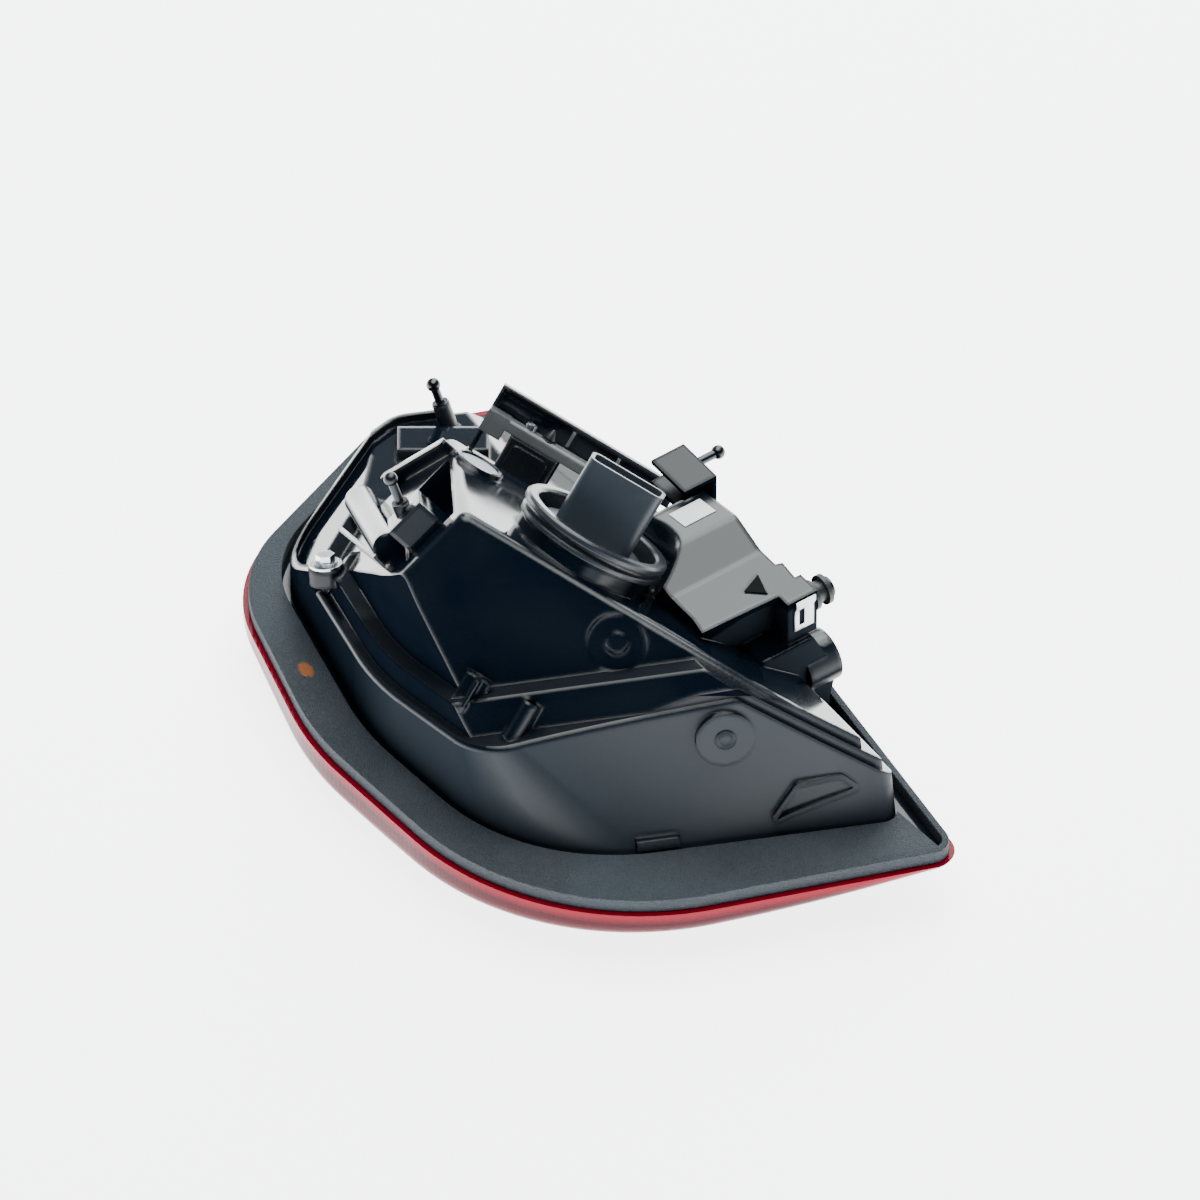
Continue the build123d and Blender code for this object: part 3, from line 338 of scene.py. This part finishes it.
# Rim gasket. Dark closed-cell foam, die-cut and stuck to the flange by its own adhesive,
# with soft edges, rubbed patches and a dab of orange inspection paint on the left.
bpy.ops.object.select_all(action="DESELECT")
foam_gasket = nodes["rim_gasket"].copy()
foam_gasket.data = nodes["rim_gasket"].data.copy()
foam_gasket.name = "foam_gasket"
foam_gasket.parent = None
foam_gasket.matrix_world = Matrix.Identity(4)
bpy.context.scene.collection.objects.link(foam_gasket)
foam_gasket.select_set(True)
bpy.context.view_layer.objects.active = foam_gasket
bpy.ops.mesh.customdata_custom_splitnormals_clear()
bpy.ops.object.mode_set(mode="EDIT")
bpy.ops.mesh.select_all(action="SELECT")
bpy.ops.mesh.remove_doubles(threshold=0.00001)
bpy.ops.mesh.dissolve_limited(angle_limit=math.radians(1))
bpy.ops.object.mode_set(mode="OBJECT")
soft_edge = foam_gasket.modifiers.new("soft_edge", "BEVEL")
soft_edge.width = 0.0013
soft_edge.segments = 3
soft_edge.limit_method = "ANGLE"
soft_edge.angle_limit = math.radians(50)
bpy.ops.object.modifier_apply(modifier="soft_edge")
bpy.ops.object.shade_smooth_by_angle(angle=math.radians(40))
PAINT_DAB = (-0.1457, -0.0145, 0.0392)
foam = bpy.data.materials.new("gasket_closed_cell_foam")
foam.use_nodes = True
foam_tree = foam.node_tree
foam_surface = foam_tree.nodes["Principled BSDF"]
foam_place = foam_tree.nodes.new("ShaderNodeTexCoord")
foam_skin = foam_tree.nodes.new("ShaderNodeGroup")
foam_skin.node_tree = skin
foam_skin.inputs["Grain Scale"].default_value = 1500
foam_skin.inputs["Smudge Scale"].default_value = 22
foam_cells = foam_tree.nodes.new("ShaderNodeTexVoronoi")
foam_cells.inputs["Scale"].default_value = 1300
foam_tint = foam_tree.nodes.new("ShaderNodeMix")
foam_tint.data_type = "RGBA"
foam_tint.inputs[MIX_FIRST].default_value = (0.027, 0.035, 0.044, 1)
foam_tint.inputs[MIX_SECOND].default_value = (0.044, 0.054, 0.066, 1)
dab_map = foam_tree.nodes.new("ShaderNodeMapping")
dab_map.vector_type = "TEXTURE"
dab_map.inputs["Location"].default_value = PAINT_DAB
dab_map.inputs["Rotation"].default_value = (0, 0, math.radians(28))
dab_map.inputs["Scale"].default_value = (0.0042, 0.0068, 0.004)
dab_shape = foam_tree.nodes.new("ShaderNodeTexGradient")
dab_shape.gradient_type = "SPHERICAL"
dab_edge = foam_tree.nodes.new("ShaderNodeMath")
dab_edge.operation = "MULTIPLY"
dab_mask = foam_tree.nodes.new("ShaderNodeMapRange")
dab_mask.inputs["From Min"].default_value = 0.05
dab_mask.inputs["From Max"].default_value = 0.25
foam_blot = foam_tree.nodes.new("ShaderNodeTexNoise")
foam_blot.inputs["Scale"].default_value = 320
dab_grain = foam_tree.nodes.new("ShaderNodeMapRange")
dab_grain.inputs["From Min"].default_value = 0.2
dab_grain.inputs["From Max"].default_value = 0.6
dab_grain.inputs["To Min"].default_value = 0.1
foam_paint = foam_tree.nodes.new("ShaderNodeMix")
foam_paint.data_type = "RGBA"
foam_paint.inputs[MIX_SECOND].default_value = (0.3, 0.09, 0.012, 1)
foam_sheen = foam_tree.nodes.new("ShaderNodeMapRange")
foam_sheen.inputs["To Min"].default_value = 0.62
foam_sheen.inputs["To Max"].default_value = 0.85
foam_relief = foam_tree.nodes.new("ShaderNodeBump")
foam_relief.inputs["Distance"].default_value = 0.0006
foam_relief.inputs["Strength"].default_value = 0.9
foam_tree.links.new(foam_place.outputs["Object"], foam_cells.inputs["Vector"])
foam_tree.links.new(foam_place.outputs["Object"], foam_blot.inputs["Vector"])
foam_tree.links.new(foam_place.outputs["Object"], dab_map.inputs["Vector"])
foam_tree.links.new(dab_map.outputs["Vector"], dab_shape.inputs["Vector"])
foam_tree.links.new(dab_shape.outputs["Fac"], dab_edge.inputs[0])
foam_tree.links.new(foam_blot.outputs["Fac"], dab_grain.inputs["Value"])
foam_tree.links.new(dab_grain.outputs["Result"], dab_edge.inputs[1])
foam_tree.links.new(dab_edge.outputs["Value"], dab_mask.inputs["Value"])
foam_tree.links.new(foam_skin.outputs["Smudge"], foam_tint.inputs[0])
foam_tree.links.new(foam_tint.outputs[MIX_COLOUR], foam_paint.inputs[MIX_FIRST])
foam_tree.links.new(dab_mask.outputs["Result"], foam_paint.inputs[0])
foam_tree.links.new(foam_paint.outputs[MIX_COLOUR], foam_surface.inputs["Base Color"])
foam_tree.links.new(foam_skin.outputs["Smudge"], foam_sheen.inputs["Value"])
foam_tree.links.new(foam_sheen.outputs["Result"], foam_surface.inputs["Roughness"])
foam_tree.links.new(foam_cells.outputs["Distance"], foam_relief.inputs["Height"])
foam_tree.links.new(foam_relief.outputs["Normal"], foam_surface.inputs["Normal"])
foam_gasket.data.materials.clear()
foam_gasket.data.materials.append(foam)
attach(foam_gasket, "root")
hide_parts("rim_gasket")

# Connector. A black rubber ring seal on the housing's neck, a satin nylon plug shroud
# screwed down inside it and twelve tinned terminals in a carrier on the shroud's floor.
dress(
    "connector_seal",
    moulded_finish(
        "seal_rubber",
        clean=(0.016, 0.02, 0.025),
        dusty=(0.03, 0.034, 0.038),
        gloss=0.24,
        dull=0.4,
        grain_scale=700,
        grain_depth=0.00005,
        edge_round=0.0012,
    ),
)
dress(
    "connector_shroud",
    moulded_finish(
        "shroud_satin_nylon",
        clean=(0.03, 0.039, 0.05),
        dusty=(0.04, 0.05, 0.062),
        gloss=0.3,
        dull=0.42,
        grain_scale=900,
        grain_depth=0.00004,
        edge_round=0.0006,
    ),
)
dress(
    "connector_pins",
    moulded_finish(
        "terminal_tin",
        clean=(0.62, 0.58, 0.47),
        dusty=(0.4, 0.36, 0.28),
        gloss=0.22,
        dull=0.4,
        grain_scale=1200,
        grain_depth=0.00002,
        edge_round=0.0002,
        metallic=1.0,
    ),
)

# Vent. A pale woven membrane pressed into its rim on the back of the housing, which lets
# the lamp breathe and keeps water out.
weave = bpy.data.materials.new("vent_woven_membrane")
weave.use_nodes = True
weave_tree = weave.node_tree
weave_surface = weave_tree.nodes["Principled BSDF"]
weave_place = weave_tree.nodes.new("ShaderNodeTexCoord")
weave_turn = weave_tree.nodes.new("ShaderNodeMapping")
weave_turn.inputs["Rotation"].default_value = (0.4, -0.55, 0.5)
weave_check = weave_tree.nodes.new("ShaderNodeTexChecker")
weave_check.inputs["Color1"].default_value = (0.42, 0.47, 0.54, 1)
weave_check.inputs["Color2"].default_value = (0.3, 0.35, 0.42, 1)
weave_check.inputs["Scale"].default_value = 1100
weave_relief = weave_tree.nodes.new("ShaderNodeBump")
weave_relief.inputs["Distance"].default_value = 0.0002
weave_surface.inputs["Roughness"].default_value = 0.5
weave_tree.links.new(weave_place.outputs["Object"], weave_turn.inputs["Vector"])
weave_tree.links.new(weave_turn.outputs["Vector"], weave_check.inputs["Vector"])
weave_tree.links.new(weave_check.outputs["Color"], weave_surface.inputs["Base Color"])
weave_tree.links.new(weave_check.outputs["Fac"], weave_relief.inputs["Height"])
weave_tree.links.new(weave_relief.outputs["Normal"], weave_surface.inputs["Normal"])
dress("vent_membrane", weave)

# Driver module. A black potted box on the platform behind the tower, held by a glossy
# black cover bar and one bright zinc-plated screw. The cover's grey base colour is painted
# highlight, standing in for its bright reflections.
dress(
    "driver_module",
    moulded_finish(
        "module_satin_black",
        clean=(0.006, 0.007, 0.009),
        dusty=(0.014, 0.016, 0.02),
        gloss=0.22,
        dull=0.4,
        grain_scale=800,
        grain_depth=0.00005,
        edge_round=0.0008,
    ),
)
# Painted highlight: the black cover bar's base colour is set grey to stand in for its bright
# reflections.
dress(
    "module_cover",
    moulded_finish(
        "cover_grey_painted_highlight",
        clean=(0.1, 0.106, 0.108),
        dusty=(0.15, 0.155, 0.158),
        gloss=0.14,
        dull=0.28,
        grain_scale=500,
        grain_depth=0.00004,
        edge_round=0.0012,
    ),
)
zinc = moulded_finish(
    "zinc_plate",
    clean=(0.74, 0.75, 0.76),
    dusty=(0.52, 0.53, 0.54),
    gloss=0.2,
    dull=0.38,
    grain_scale=1500,
    grain_depth=0.00002,
    edge_round=0.0004,
    metallic=1.0,
)
dress("module_screw", zinc)

# Rail ribs. Thin upright webs brace the rail, and a rounded bead of the same moulding runs
# up the free edge of each. The beads are coloured grey, far lighter than the black moulding,
# as painted highlight, and show as a fine light line.
DRAW_LEAN = math.radians(41)
BEAD_RADIUS = 0.0009
RAIL_BEADS = (
    ((-0.0132, 0.0988, 0.0889), 0.0089),
    ((0.0063, 0.087, 0.0751), 0.0205),
    ((0.0287, 0.0777, 0.0657), 0.0205),
)
bpy.ops.object.select_all(action="DESELECT")
bpy.ops.mesh.primitive_cylinder_add(vertices=16, radius=BEAD_RADIUS, depth=BEAD_RADIUS)
rail_beads = bpy.context.object
rail_beads.name = "rail_beads"
bpy.ops.object.mode_set(mode="EDIT")
bpy.ops.mesh.select_all(action="SELECT")
bpy.ops.mesh.delete(type="VERT")
for middle, length in RAIL_BEADS:
    bpy.ops.mesh.select_all(action="DESELECT")
    bpy.ops.mesh.primitive_cylinder_add(vertices=16, radius=BEAD_RADIUS, depth=length)
    bpy.ops.transform.rotate(value=-DRAW_LEAN, orient_axis="Y", center_override=(0, 0, 0))
    bpy.ops.transform.rotate(value=-DRAW_LEAN, orient_axis="Z", center_override=(0, 0, 0))
    bpy.ops.transform.translate(value=middle)
bpy.ops.object.mode_set(mode="OBJECT")
bead_ends = rail_beads.modifiers.new("bead_ends", "BEVEL")
bead_ends.width = BEAD_RADIUS / 2
bead_ends.segments = 3
bead_ends.limit_method = "ANGLE"
bead_ends.angle_limit = math.radians(60)
bpy.ops.object.modifier_apply(modifier="bead_ends")
bpy.ops.object.shade_smooth_by_angle(angle=math.radians(40))
# Painted highlight: the beads' grey base colour, far lighter than the black moulding, makes the
# light line.
rail_beads.data.materials.append(
    moulded_finish(
        "bead_grey_painted_highlight",
        clean=(0.1, 0.11, 0.115),
        dusty=(0.14, 0.15, 0.155),
        gloss=0.12,
        dull=0.2,
        grain_scale=600,
        grain_depth=0.00001,
        edge_round=0.0002,
    )
)
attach(rail_beads, "root")

# Dart clip. A small dark nylon fir-tree dart pushed down into the cover bar, pointing the
# way the housing was drawn: a round foot, a waist and a pointed head.
DART_SPOT = (-0.0244, 0.0956, 0.0914)
DART_FOOT = 0.0034
DART_HEIGHT = 0.0052
DART_TIP = DART_FOOT / 5
DART_LIFT = DART_HEIGHT * 0.7
DART_WAIST = DART_FOOT * 0.6
DART_WAIST_HEIGHT = DART_HEIGHT * 0.4
DART_PAD = DART_FOOT * 1.2
DART_PAD_HEIGHT = DART_HEIGHT * 0.2
bpy.ops.object.select_all(action="DESELECT")
bpy.ops.mesh.primitive_cone_add(
    vertices=32, radius1=DART_FOOT, radius2=DART_TIP, depth=DART_HEIGHT
)
cover_dart = bpy.context.object
cover_dart.name = "cover_dart"
bpy.ops.object.mode_set(mode="EDIT")
bpy.ops.mesh.select_all(action="SELECT")
bpy.ops.transform.translate(value=(0, 0, DART_LIFT))
bpy.ops.mesh.primitive_cylinder_add(vertices=32, radius=DART_WAIST, depth=DART_WAIST_HEIGHT)
bpy.ops.mesh.primitive_cylinder_add(vertices=32, radius=DART_PAD, depth=DART_PAD_HEIGHT)
bpy.ops.mesh.select_all(action="SELECT")
bpy.ops.transform.rotate(value=-DRAW_LEAN, orient_axis="Y", center_override=(0, 0, 0))
bpy.ops.transform.rotate(value=-DRAW_LEAN, orient_axis="Z", center_override=(0, 0, 0))
bpy.ops.transform.translate(value=DART_SPOT)
bpy.ops.object.mode_set(mode="OBJECT")
dart_edge = cover_dart.modifiers.new("dart_edge", "BEVEL")
dart_edge.width = 0.0003
dart_edge.segments = 2
bpy.ops.object.modifier_apply(modifier="dart_edge")
bpy.ops.object.shade_smooth_by_angle(angle=math.radians(40))
cover_dart.data.materials.append(
    moulded_finish(
        "dart_nylon",
        clean=(0.004, 0.005, 0.006),
        dusty=(0.008, 0.009, 0.011),
        gloss=0.35,
        dull=0.5,
        grain_scale=900,
        grain_depth=0.00003,
        edge_round=0.0003,
    )
)
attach(cover_dart, "root")

# Fixings. Dark passivated ball studs pressed into their seats, a rubber damper on a dark
# stud, and the zinc-plated flange screw with its washer.
dark_steel = moulded_finish(
    "stud_dark_steel",
    clean=(0.06, 0.064, 0.072),
    dusty=(0.035, 0.037, 0.042),
    gloss=0.24,
    dull=0.42,
    grain_scale=1500,
    grain_depth=0.00002,
    edge_round=0.0003,
    metallic=1.0,
)
for name in ("left_ball_stud", "rear_ball_stud", "right_ball_stud", "damper_stud"):
    dress(name, dark_steel)
dress(
    "damper_bush",
    moulded_finish(
        "bush_rubber",
        clean=(0.012, 0.013, 0.015),
        dusty=(0.028, 0.029, 0.032),
        gloss=0.4,
        dull=0.6,
        grain_scale=900,
        grain_depth=0.00006,
        edge_round=0.0006,
    ),
)
for name in ("flange_screw", "screw_washer"):
    dress(name, zinc)

# Spring clip. Bright spring steel, pressed from strip and hooked over the damper's block:
# its upper half steps out over the edge and a tall slot leaves two springy legs.
CLIP_SPOT = (0.1029, -0.0439, 0.1092)
CLIP_WIDTH = 0.012
CLIP_TALL = 0.021
CLIP_STEP = 0.0016
CLIP_METAL = 0.0009
SLOT_SIDE = -CLIP_WIDTH / 4
SLOT_LOW = -CLIP_TALL / 3
SLOT_HIGH = CLIP_TALL / 6
HUMP_HEADING = math.radians(36)
bpy.ops.object.select_all(action="DESELECT")
bpy.ops.mesh.primitive_grid_add(x_subdivisions=4, y_subdivisions=6, size=1)
pressed_clip = bpy.context.object
pressed_clip.name = "pressed_clip"
bpy.ops.object.mode_set(mode="EDIT")
bpy.ops.mesh.select_all(action="SELECT")
bpy.ops.transform.resize(value=(CLIP_WIDTH, CLIP_TALL, 1))
bpy.ops.mesh.select_all(action="DESELECT")
bpy.ops.object.mode_set(mode="OBJECT")
for face in pressed_clip.data.polygons:
    face.select = SLOT_SIDE < face.center.x < 0 and SLOT_LOW < face.center.y < SLOT_HIGH
bpy.ops.object.mode_set(mode="EDIT")
bpy.ops.mesh.delete(type="FACE")
bpy.ops.mesh.select_all(action="DESELECT")
bpy.ops.object.mode_set(mode="OBJECT")
for corner in pressed_clip.data.vertices:
    corner.select = corner.co.y > CLIP_TALL / 4
bpy.ops.object.mode_set(mode="EDIT")
bpy.ops.transform.translate(value=(0, 0, CLIP_STEP))
bpy.ops.mesh.select_all(action="SELECT")
bpy.ops.transform.rotate(value=-math.radians(90), orient_axis="X", center_override=(0, 0, 0))
bpy.ops.transform.rotate(value=-HUMP_HEADING, orient_axis="Z", center_override=(0, 0, 0))
bpy.ops.transform.translate(value=CLIP_SPOT)
bpy.ops.object.mode_set(mode="OBJECT")
clip_sheet = pressed_clip.modifiers.new("clip_sheet", "SOLIDIFY")
clip_sheet.thickness = CLIP_METAL
clip_sheet.offset = 0
bpy.ops.object.modifier_apply(modifier="clip_sheet")
clip_edge = pressed_clip.modifiers.new("clip_edge", "BEVEL")
clip_edge.width = 0.0002
clip_edge.segments = 2
bpy.ops.object.modifier_apply(modifier="clip_edge")
bpy.ops.object.shade_smooth_by_angle(angle=math.radians(35))
pressed_clip.data.materials.append(
    moulded_finish(
        "clip_spring_steel",
        clean=(0.5, 0.51, 0.51),
        dusty=(0.38, 0.39, 0.39),
        gloss=0.3,
        dull=0.42,
        grain_scale=1500,
        grain_depth=0.00002,
        edge_round=0.0002,
        metallic=1.0,
    )
)
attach(pressed_clip, "root")
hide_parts("spring_clip")

# Arrow. A raised triangle on the shelf of the hump that points to the rear, with a matt
# black face: painted shade standing in for a dark recess there.
ARROW_SPOT = (0.0792, -0.0361, 0.11995)
ARROW_RADIUS = 0.0067
ARROW_STRETCH = 1.265
ARROW_THICKNESS = 0.0003
ARROW_HEADING = math.radians(6)
bpy.ops.object.select_all(action="DESELECT")
bpy.ops.mesh.primitive_cylinder_add(vertices=3, radius=ARROW_RADIUS, depth=ARROW_THICKNESS)
arrow_shade_patch = bpy.context.object
arrow_shade_patch.name = "arrow_shade_patch"
bpy.ops.object.mode_set(mode="EDIT")
bpy.ops.mesh.select_all(action="SELECT")
bpy.ops.transform.resize(value=(1, ARROW_STRETCH, 1))
bpy.ops.transform.rotate(value=ARROW_HEADING, orient_axis="Z", center_override=(0, 0, 0))
bpy.ops.transform.translate(value=ARROW_SPOT)
bpy.ops.object.mode_set(mode="OBJECT")
arrow_edge = arrow_shade_patch.modifiers.new("arrow_edge", "BEVEL")
arrow_edge.width = 0.0001
arrow_edge.segments = 2
bpy.ops.object.modifier_apply(modifier="arrow_edge")
# Painted shade: a matt black face standing in for the dark recess on the shelf.
arrow_shade_finish = moulded_finish(
    "arrow_painted_shade",
    clean=(0.0015, 0.002, 0.0025),
    dusty=(0.003, 0.0035, 0.004),
    gloss=0.6,
    dull=0.7,
    grain_scale=1800,
    grain_depth=0.00002,
    edge_round=0.0001,
)
arrow_surface = arrow_shade_finish.node_tree.nodes["Principled BSDF"]
arrow_surface.inputs["Specular IOR Level"].default_value = 0.05
arrow_shade_patch.data.materials.append(arrow_shade_finish)
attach(arrow_shade_patch, "root")

# Label. A blank white film stuck on the flank of the hump, with a paper-like tooth.
dress(
    "blank_label",
    moulded_finish(
        "label_white_film",
        clean=(0.82, 0.82, 0.81),
        dusty=(0.7, 0.7, 0.69),
        gloss=0.4,
        dull=0.55,
        grain_scale=2200,
        grain_depth=0.00003,
        edge_round=0.0002,
    ),
)

# Inside, behind the lens. A black bezel carries two metallised reflectors with green
# boards and amber-coated emitters, a clear light guide and a prismatic reflex reflector.
dress(
    "inner_bezel",
    moulded_finish(
        "bezel_black",
        clean=(0.01, 0.01, 0.012),
        dusty=(0.02, 0.02, 0.022),
        gloss=0.2,
        dull=0.35,
        grain_scale=700,
        grain_depth=0.00004,
        edge_round=0.0004,
    ),
)
dress(
    "tail_light_guide",
    moulded_finish(
        "guide_clear_acrylic",
        clean=(0.8, 0.8, 0.82),
        dusty=(0.7, 0.7, 0.72),
        gloss=0.08,
        dull=0.15,
        grain_scale=600,
        grain_depth=0.00003,
        edge_round=0.0004,
    ),
)
mirror = moulded_finish(
    "reflector_metallised",
    clean=(0.86, 0.87, 0.88),
    dusty=(0.8, 0.8, 0.81),
    gloss=0.05,
    dull=0.12,
    grain_scale=500,
    grain_depth=0.00002,
    edge_round=0.0003,
    metallic=1.0,
)
board = moulded_finish(
    "board_solder_mask",
    clean=(0.015, 0.1, 0.04),
    dusty=(0.02, 0.13, 0.05),
    gloss=0.35,
    dull=0.5,
    grain_scale=1400,
    grain_depth=0.00003,
    edge_round=0.0002,
)
phosphor = moulded_finish(
    "emitter_phosphor",
    clean=(0.8, 0.6, 0.1),
    dusty=(0.72, 0.52, 0.08),
    gloss=0.4,
    dull=0.55,
    grain_scale=1800,
    grain_depth=0.00003,
    edge_round=0.0002,
)
for lamp in ("brake", "reverse"):
    dress(lamp + "_reflector", mirror)
    dress(lamp + "_board", board)
    dress(lamp + "_emitter", phosphor)
dress(
    "reflex_reflector",
    moulded_finish(
        "reflex_prisms",
        clean=(0.35, 0.004, 0.01),
        dusty=(0.42, 0.006, 0.012),
        gloss=0.1,
        dull=0.2,
        grain_scale=350,
        grain_depth=0.0004,
        edge_round=0.0003,
    ),
)

# Bench and studio. The lamp lies on a white light table under a large soft panel, with
# another behind it. Low in front hangs a white sheet, and the room above that is dark.
BENCH_SIZE = 9
bpy.ops.object.select_all(action="DESELECT")
bpy.ops.mesh.primitive_plane_add(size=BENCH_SIZE, location=(0, 0, 0))
bench = bpy.context.object
bench.name = "bench"
bench_paint = bpy.data.materials.new("bench_white_paint")
bench_paint.use_nodes = True
bench_surface = bench_paint.node_tree.nodes["Principled BSDF"]
bench_surface.inputs["Base Color"].default_value = (0.9, 0.9, 0.9, 1)
bench_surface.inputs["Roughness"].default_value = 0.85
bench_surface.inputs["Specular IOR Level"].default_value = 0.1
bench_surface.inputs["Emission Color"].default_value = (1, 1, 1, 1)
bench_surface.inputs["Emission Strength"].default_value = 4.2
bench.data.materials.append(bench_paint)

studio = bpy.data.worlds.new("studio")
studio.use_nodes = True
studio_tree = studio.node_tree
studio_back = studio_tree.nodes["Background"]
studio_place = studio_tree.nodes.new("ShaderNodeTexCoord")
studio_axes = studio_tree.nodes.new("ShaderNodeSeparateXYZ")
studio_rise = studio_tree.nodes.new("ShaderNodeMapRange")
studio_rise.interpolation_type = "SMOOTHSTEP"
studio_rise.inputs["From Min"].default_value = 0.16
studio_rise.inputs["From Max"].default_value = 0.3
studio_front = studio_tree.nodes.new("ShaderNodeMix")
studio_front.data_type = "RGBA"
studio_front.inputs[MIX_FIRST].default_value = (1.25, 1.45, 1.65, 1)
studio_front.inputs[MIX_SECOND].default_value = (0.01, 0.03, 0.06, 1)
studio_fade = studio_tree.nodes.new("ShaderNodeMapRange")
studio_fade.interpolation_type = "SMOOTHSTEP"
studio_fade.inputs["From Min"].default_value = -0.1
studio_fade.inputs["From Max"].default_value = 0.6
studio_tint = studio_tree.nodes.new("ShaderNodeMix")
studio_tint.data_type = "RGBA"
studio_tint.inputs[MIX_SECOND].default_value = (0.28, 0.33, 0.37, 1)
studio_tree.links.new(studio_place.outputs["Generated"], studio_axes.inputs["Vector"])
studio_tree.links.new(studio_axes.outputs["Z"], studio_rise.inputs["Value"])
studio_tree.links.new(studio_rise.outputs["Result"], studio_front.inputs[0])
studio_tree.links.new(studio_front.outputs[MIX_COLOUR], studio_tint.inputs[MIX_FIRST])
studio_tree.links.new(studio_axes.outputs["Y"], studio_fade.inputs["Value"])
studio_tree.links.new(studio_fade.outputs["Result"], studio_tint.inputs[0])
studio_tree.links.new(studio_tint.outputs[MIX_COLOUR], studio_back.inputs["Color"])
bpy.context.scene.world = studio


def soft_panel(name, place, size, power):
    light = bpy.data.lights.new(name, "AREA")
    light.shape = "DISK"
    light.size = size
    light.energy = power
    light.color = (0.95, 1, 0.985)
    panel = bpy.data.objects.new(name, light)
    panel.location = place
    panel.rotation_euler = (-Vector(place)).to_track_quat("-Z", "Y").to_euler()
    bpy.context.scene.collection.objects.link(panel)


soft_panel("overhead_panel", place=(0, 0.4, 1.9), size=2.0, power=62)
soft_panel("back_panel", place=(0.4, 1.8, 1.35), size=1.8, power=54)

# Camera. It looks down at 45 degrees along the bench, from far enough away
# that lines which are parallel on the lamp stay parallel in the picture.
CAMERA_DISTANCE = 14
FRAME_WIDTH = 0.6
LOOK_AT = (0.0014, 0.004, 0.0699)
VIEW_DROP = math.radians(45)
camera_data = bpy.data.cameras.new("bench_camera")
camera_data.sensor_width = 36
camera_data.lens = camera_data.sensor_width * CAMERA_DISTANCE / FRAME_WIDTH
camera = bpy.data.objects.new("bench_camera", camera_data)
camera.location = (
    LOOK_AT[0],
    LOOK_AT[1] - CAMERA_DISTANCE * math.cos(VIEW_DROP),
    LOOK_AT[2] + CAMERA_DISTANCE * math.sin(VIEW_DROP),
)
camera.rotation_euler = (math.radians(90) - VIEW_DROP, 0, 0)
bpy.context.scene.collection.objects.link(camera)
bpy.context.scene.camera = camera
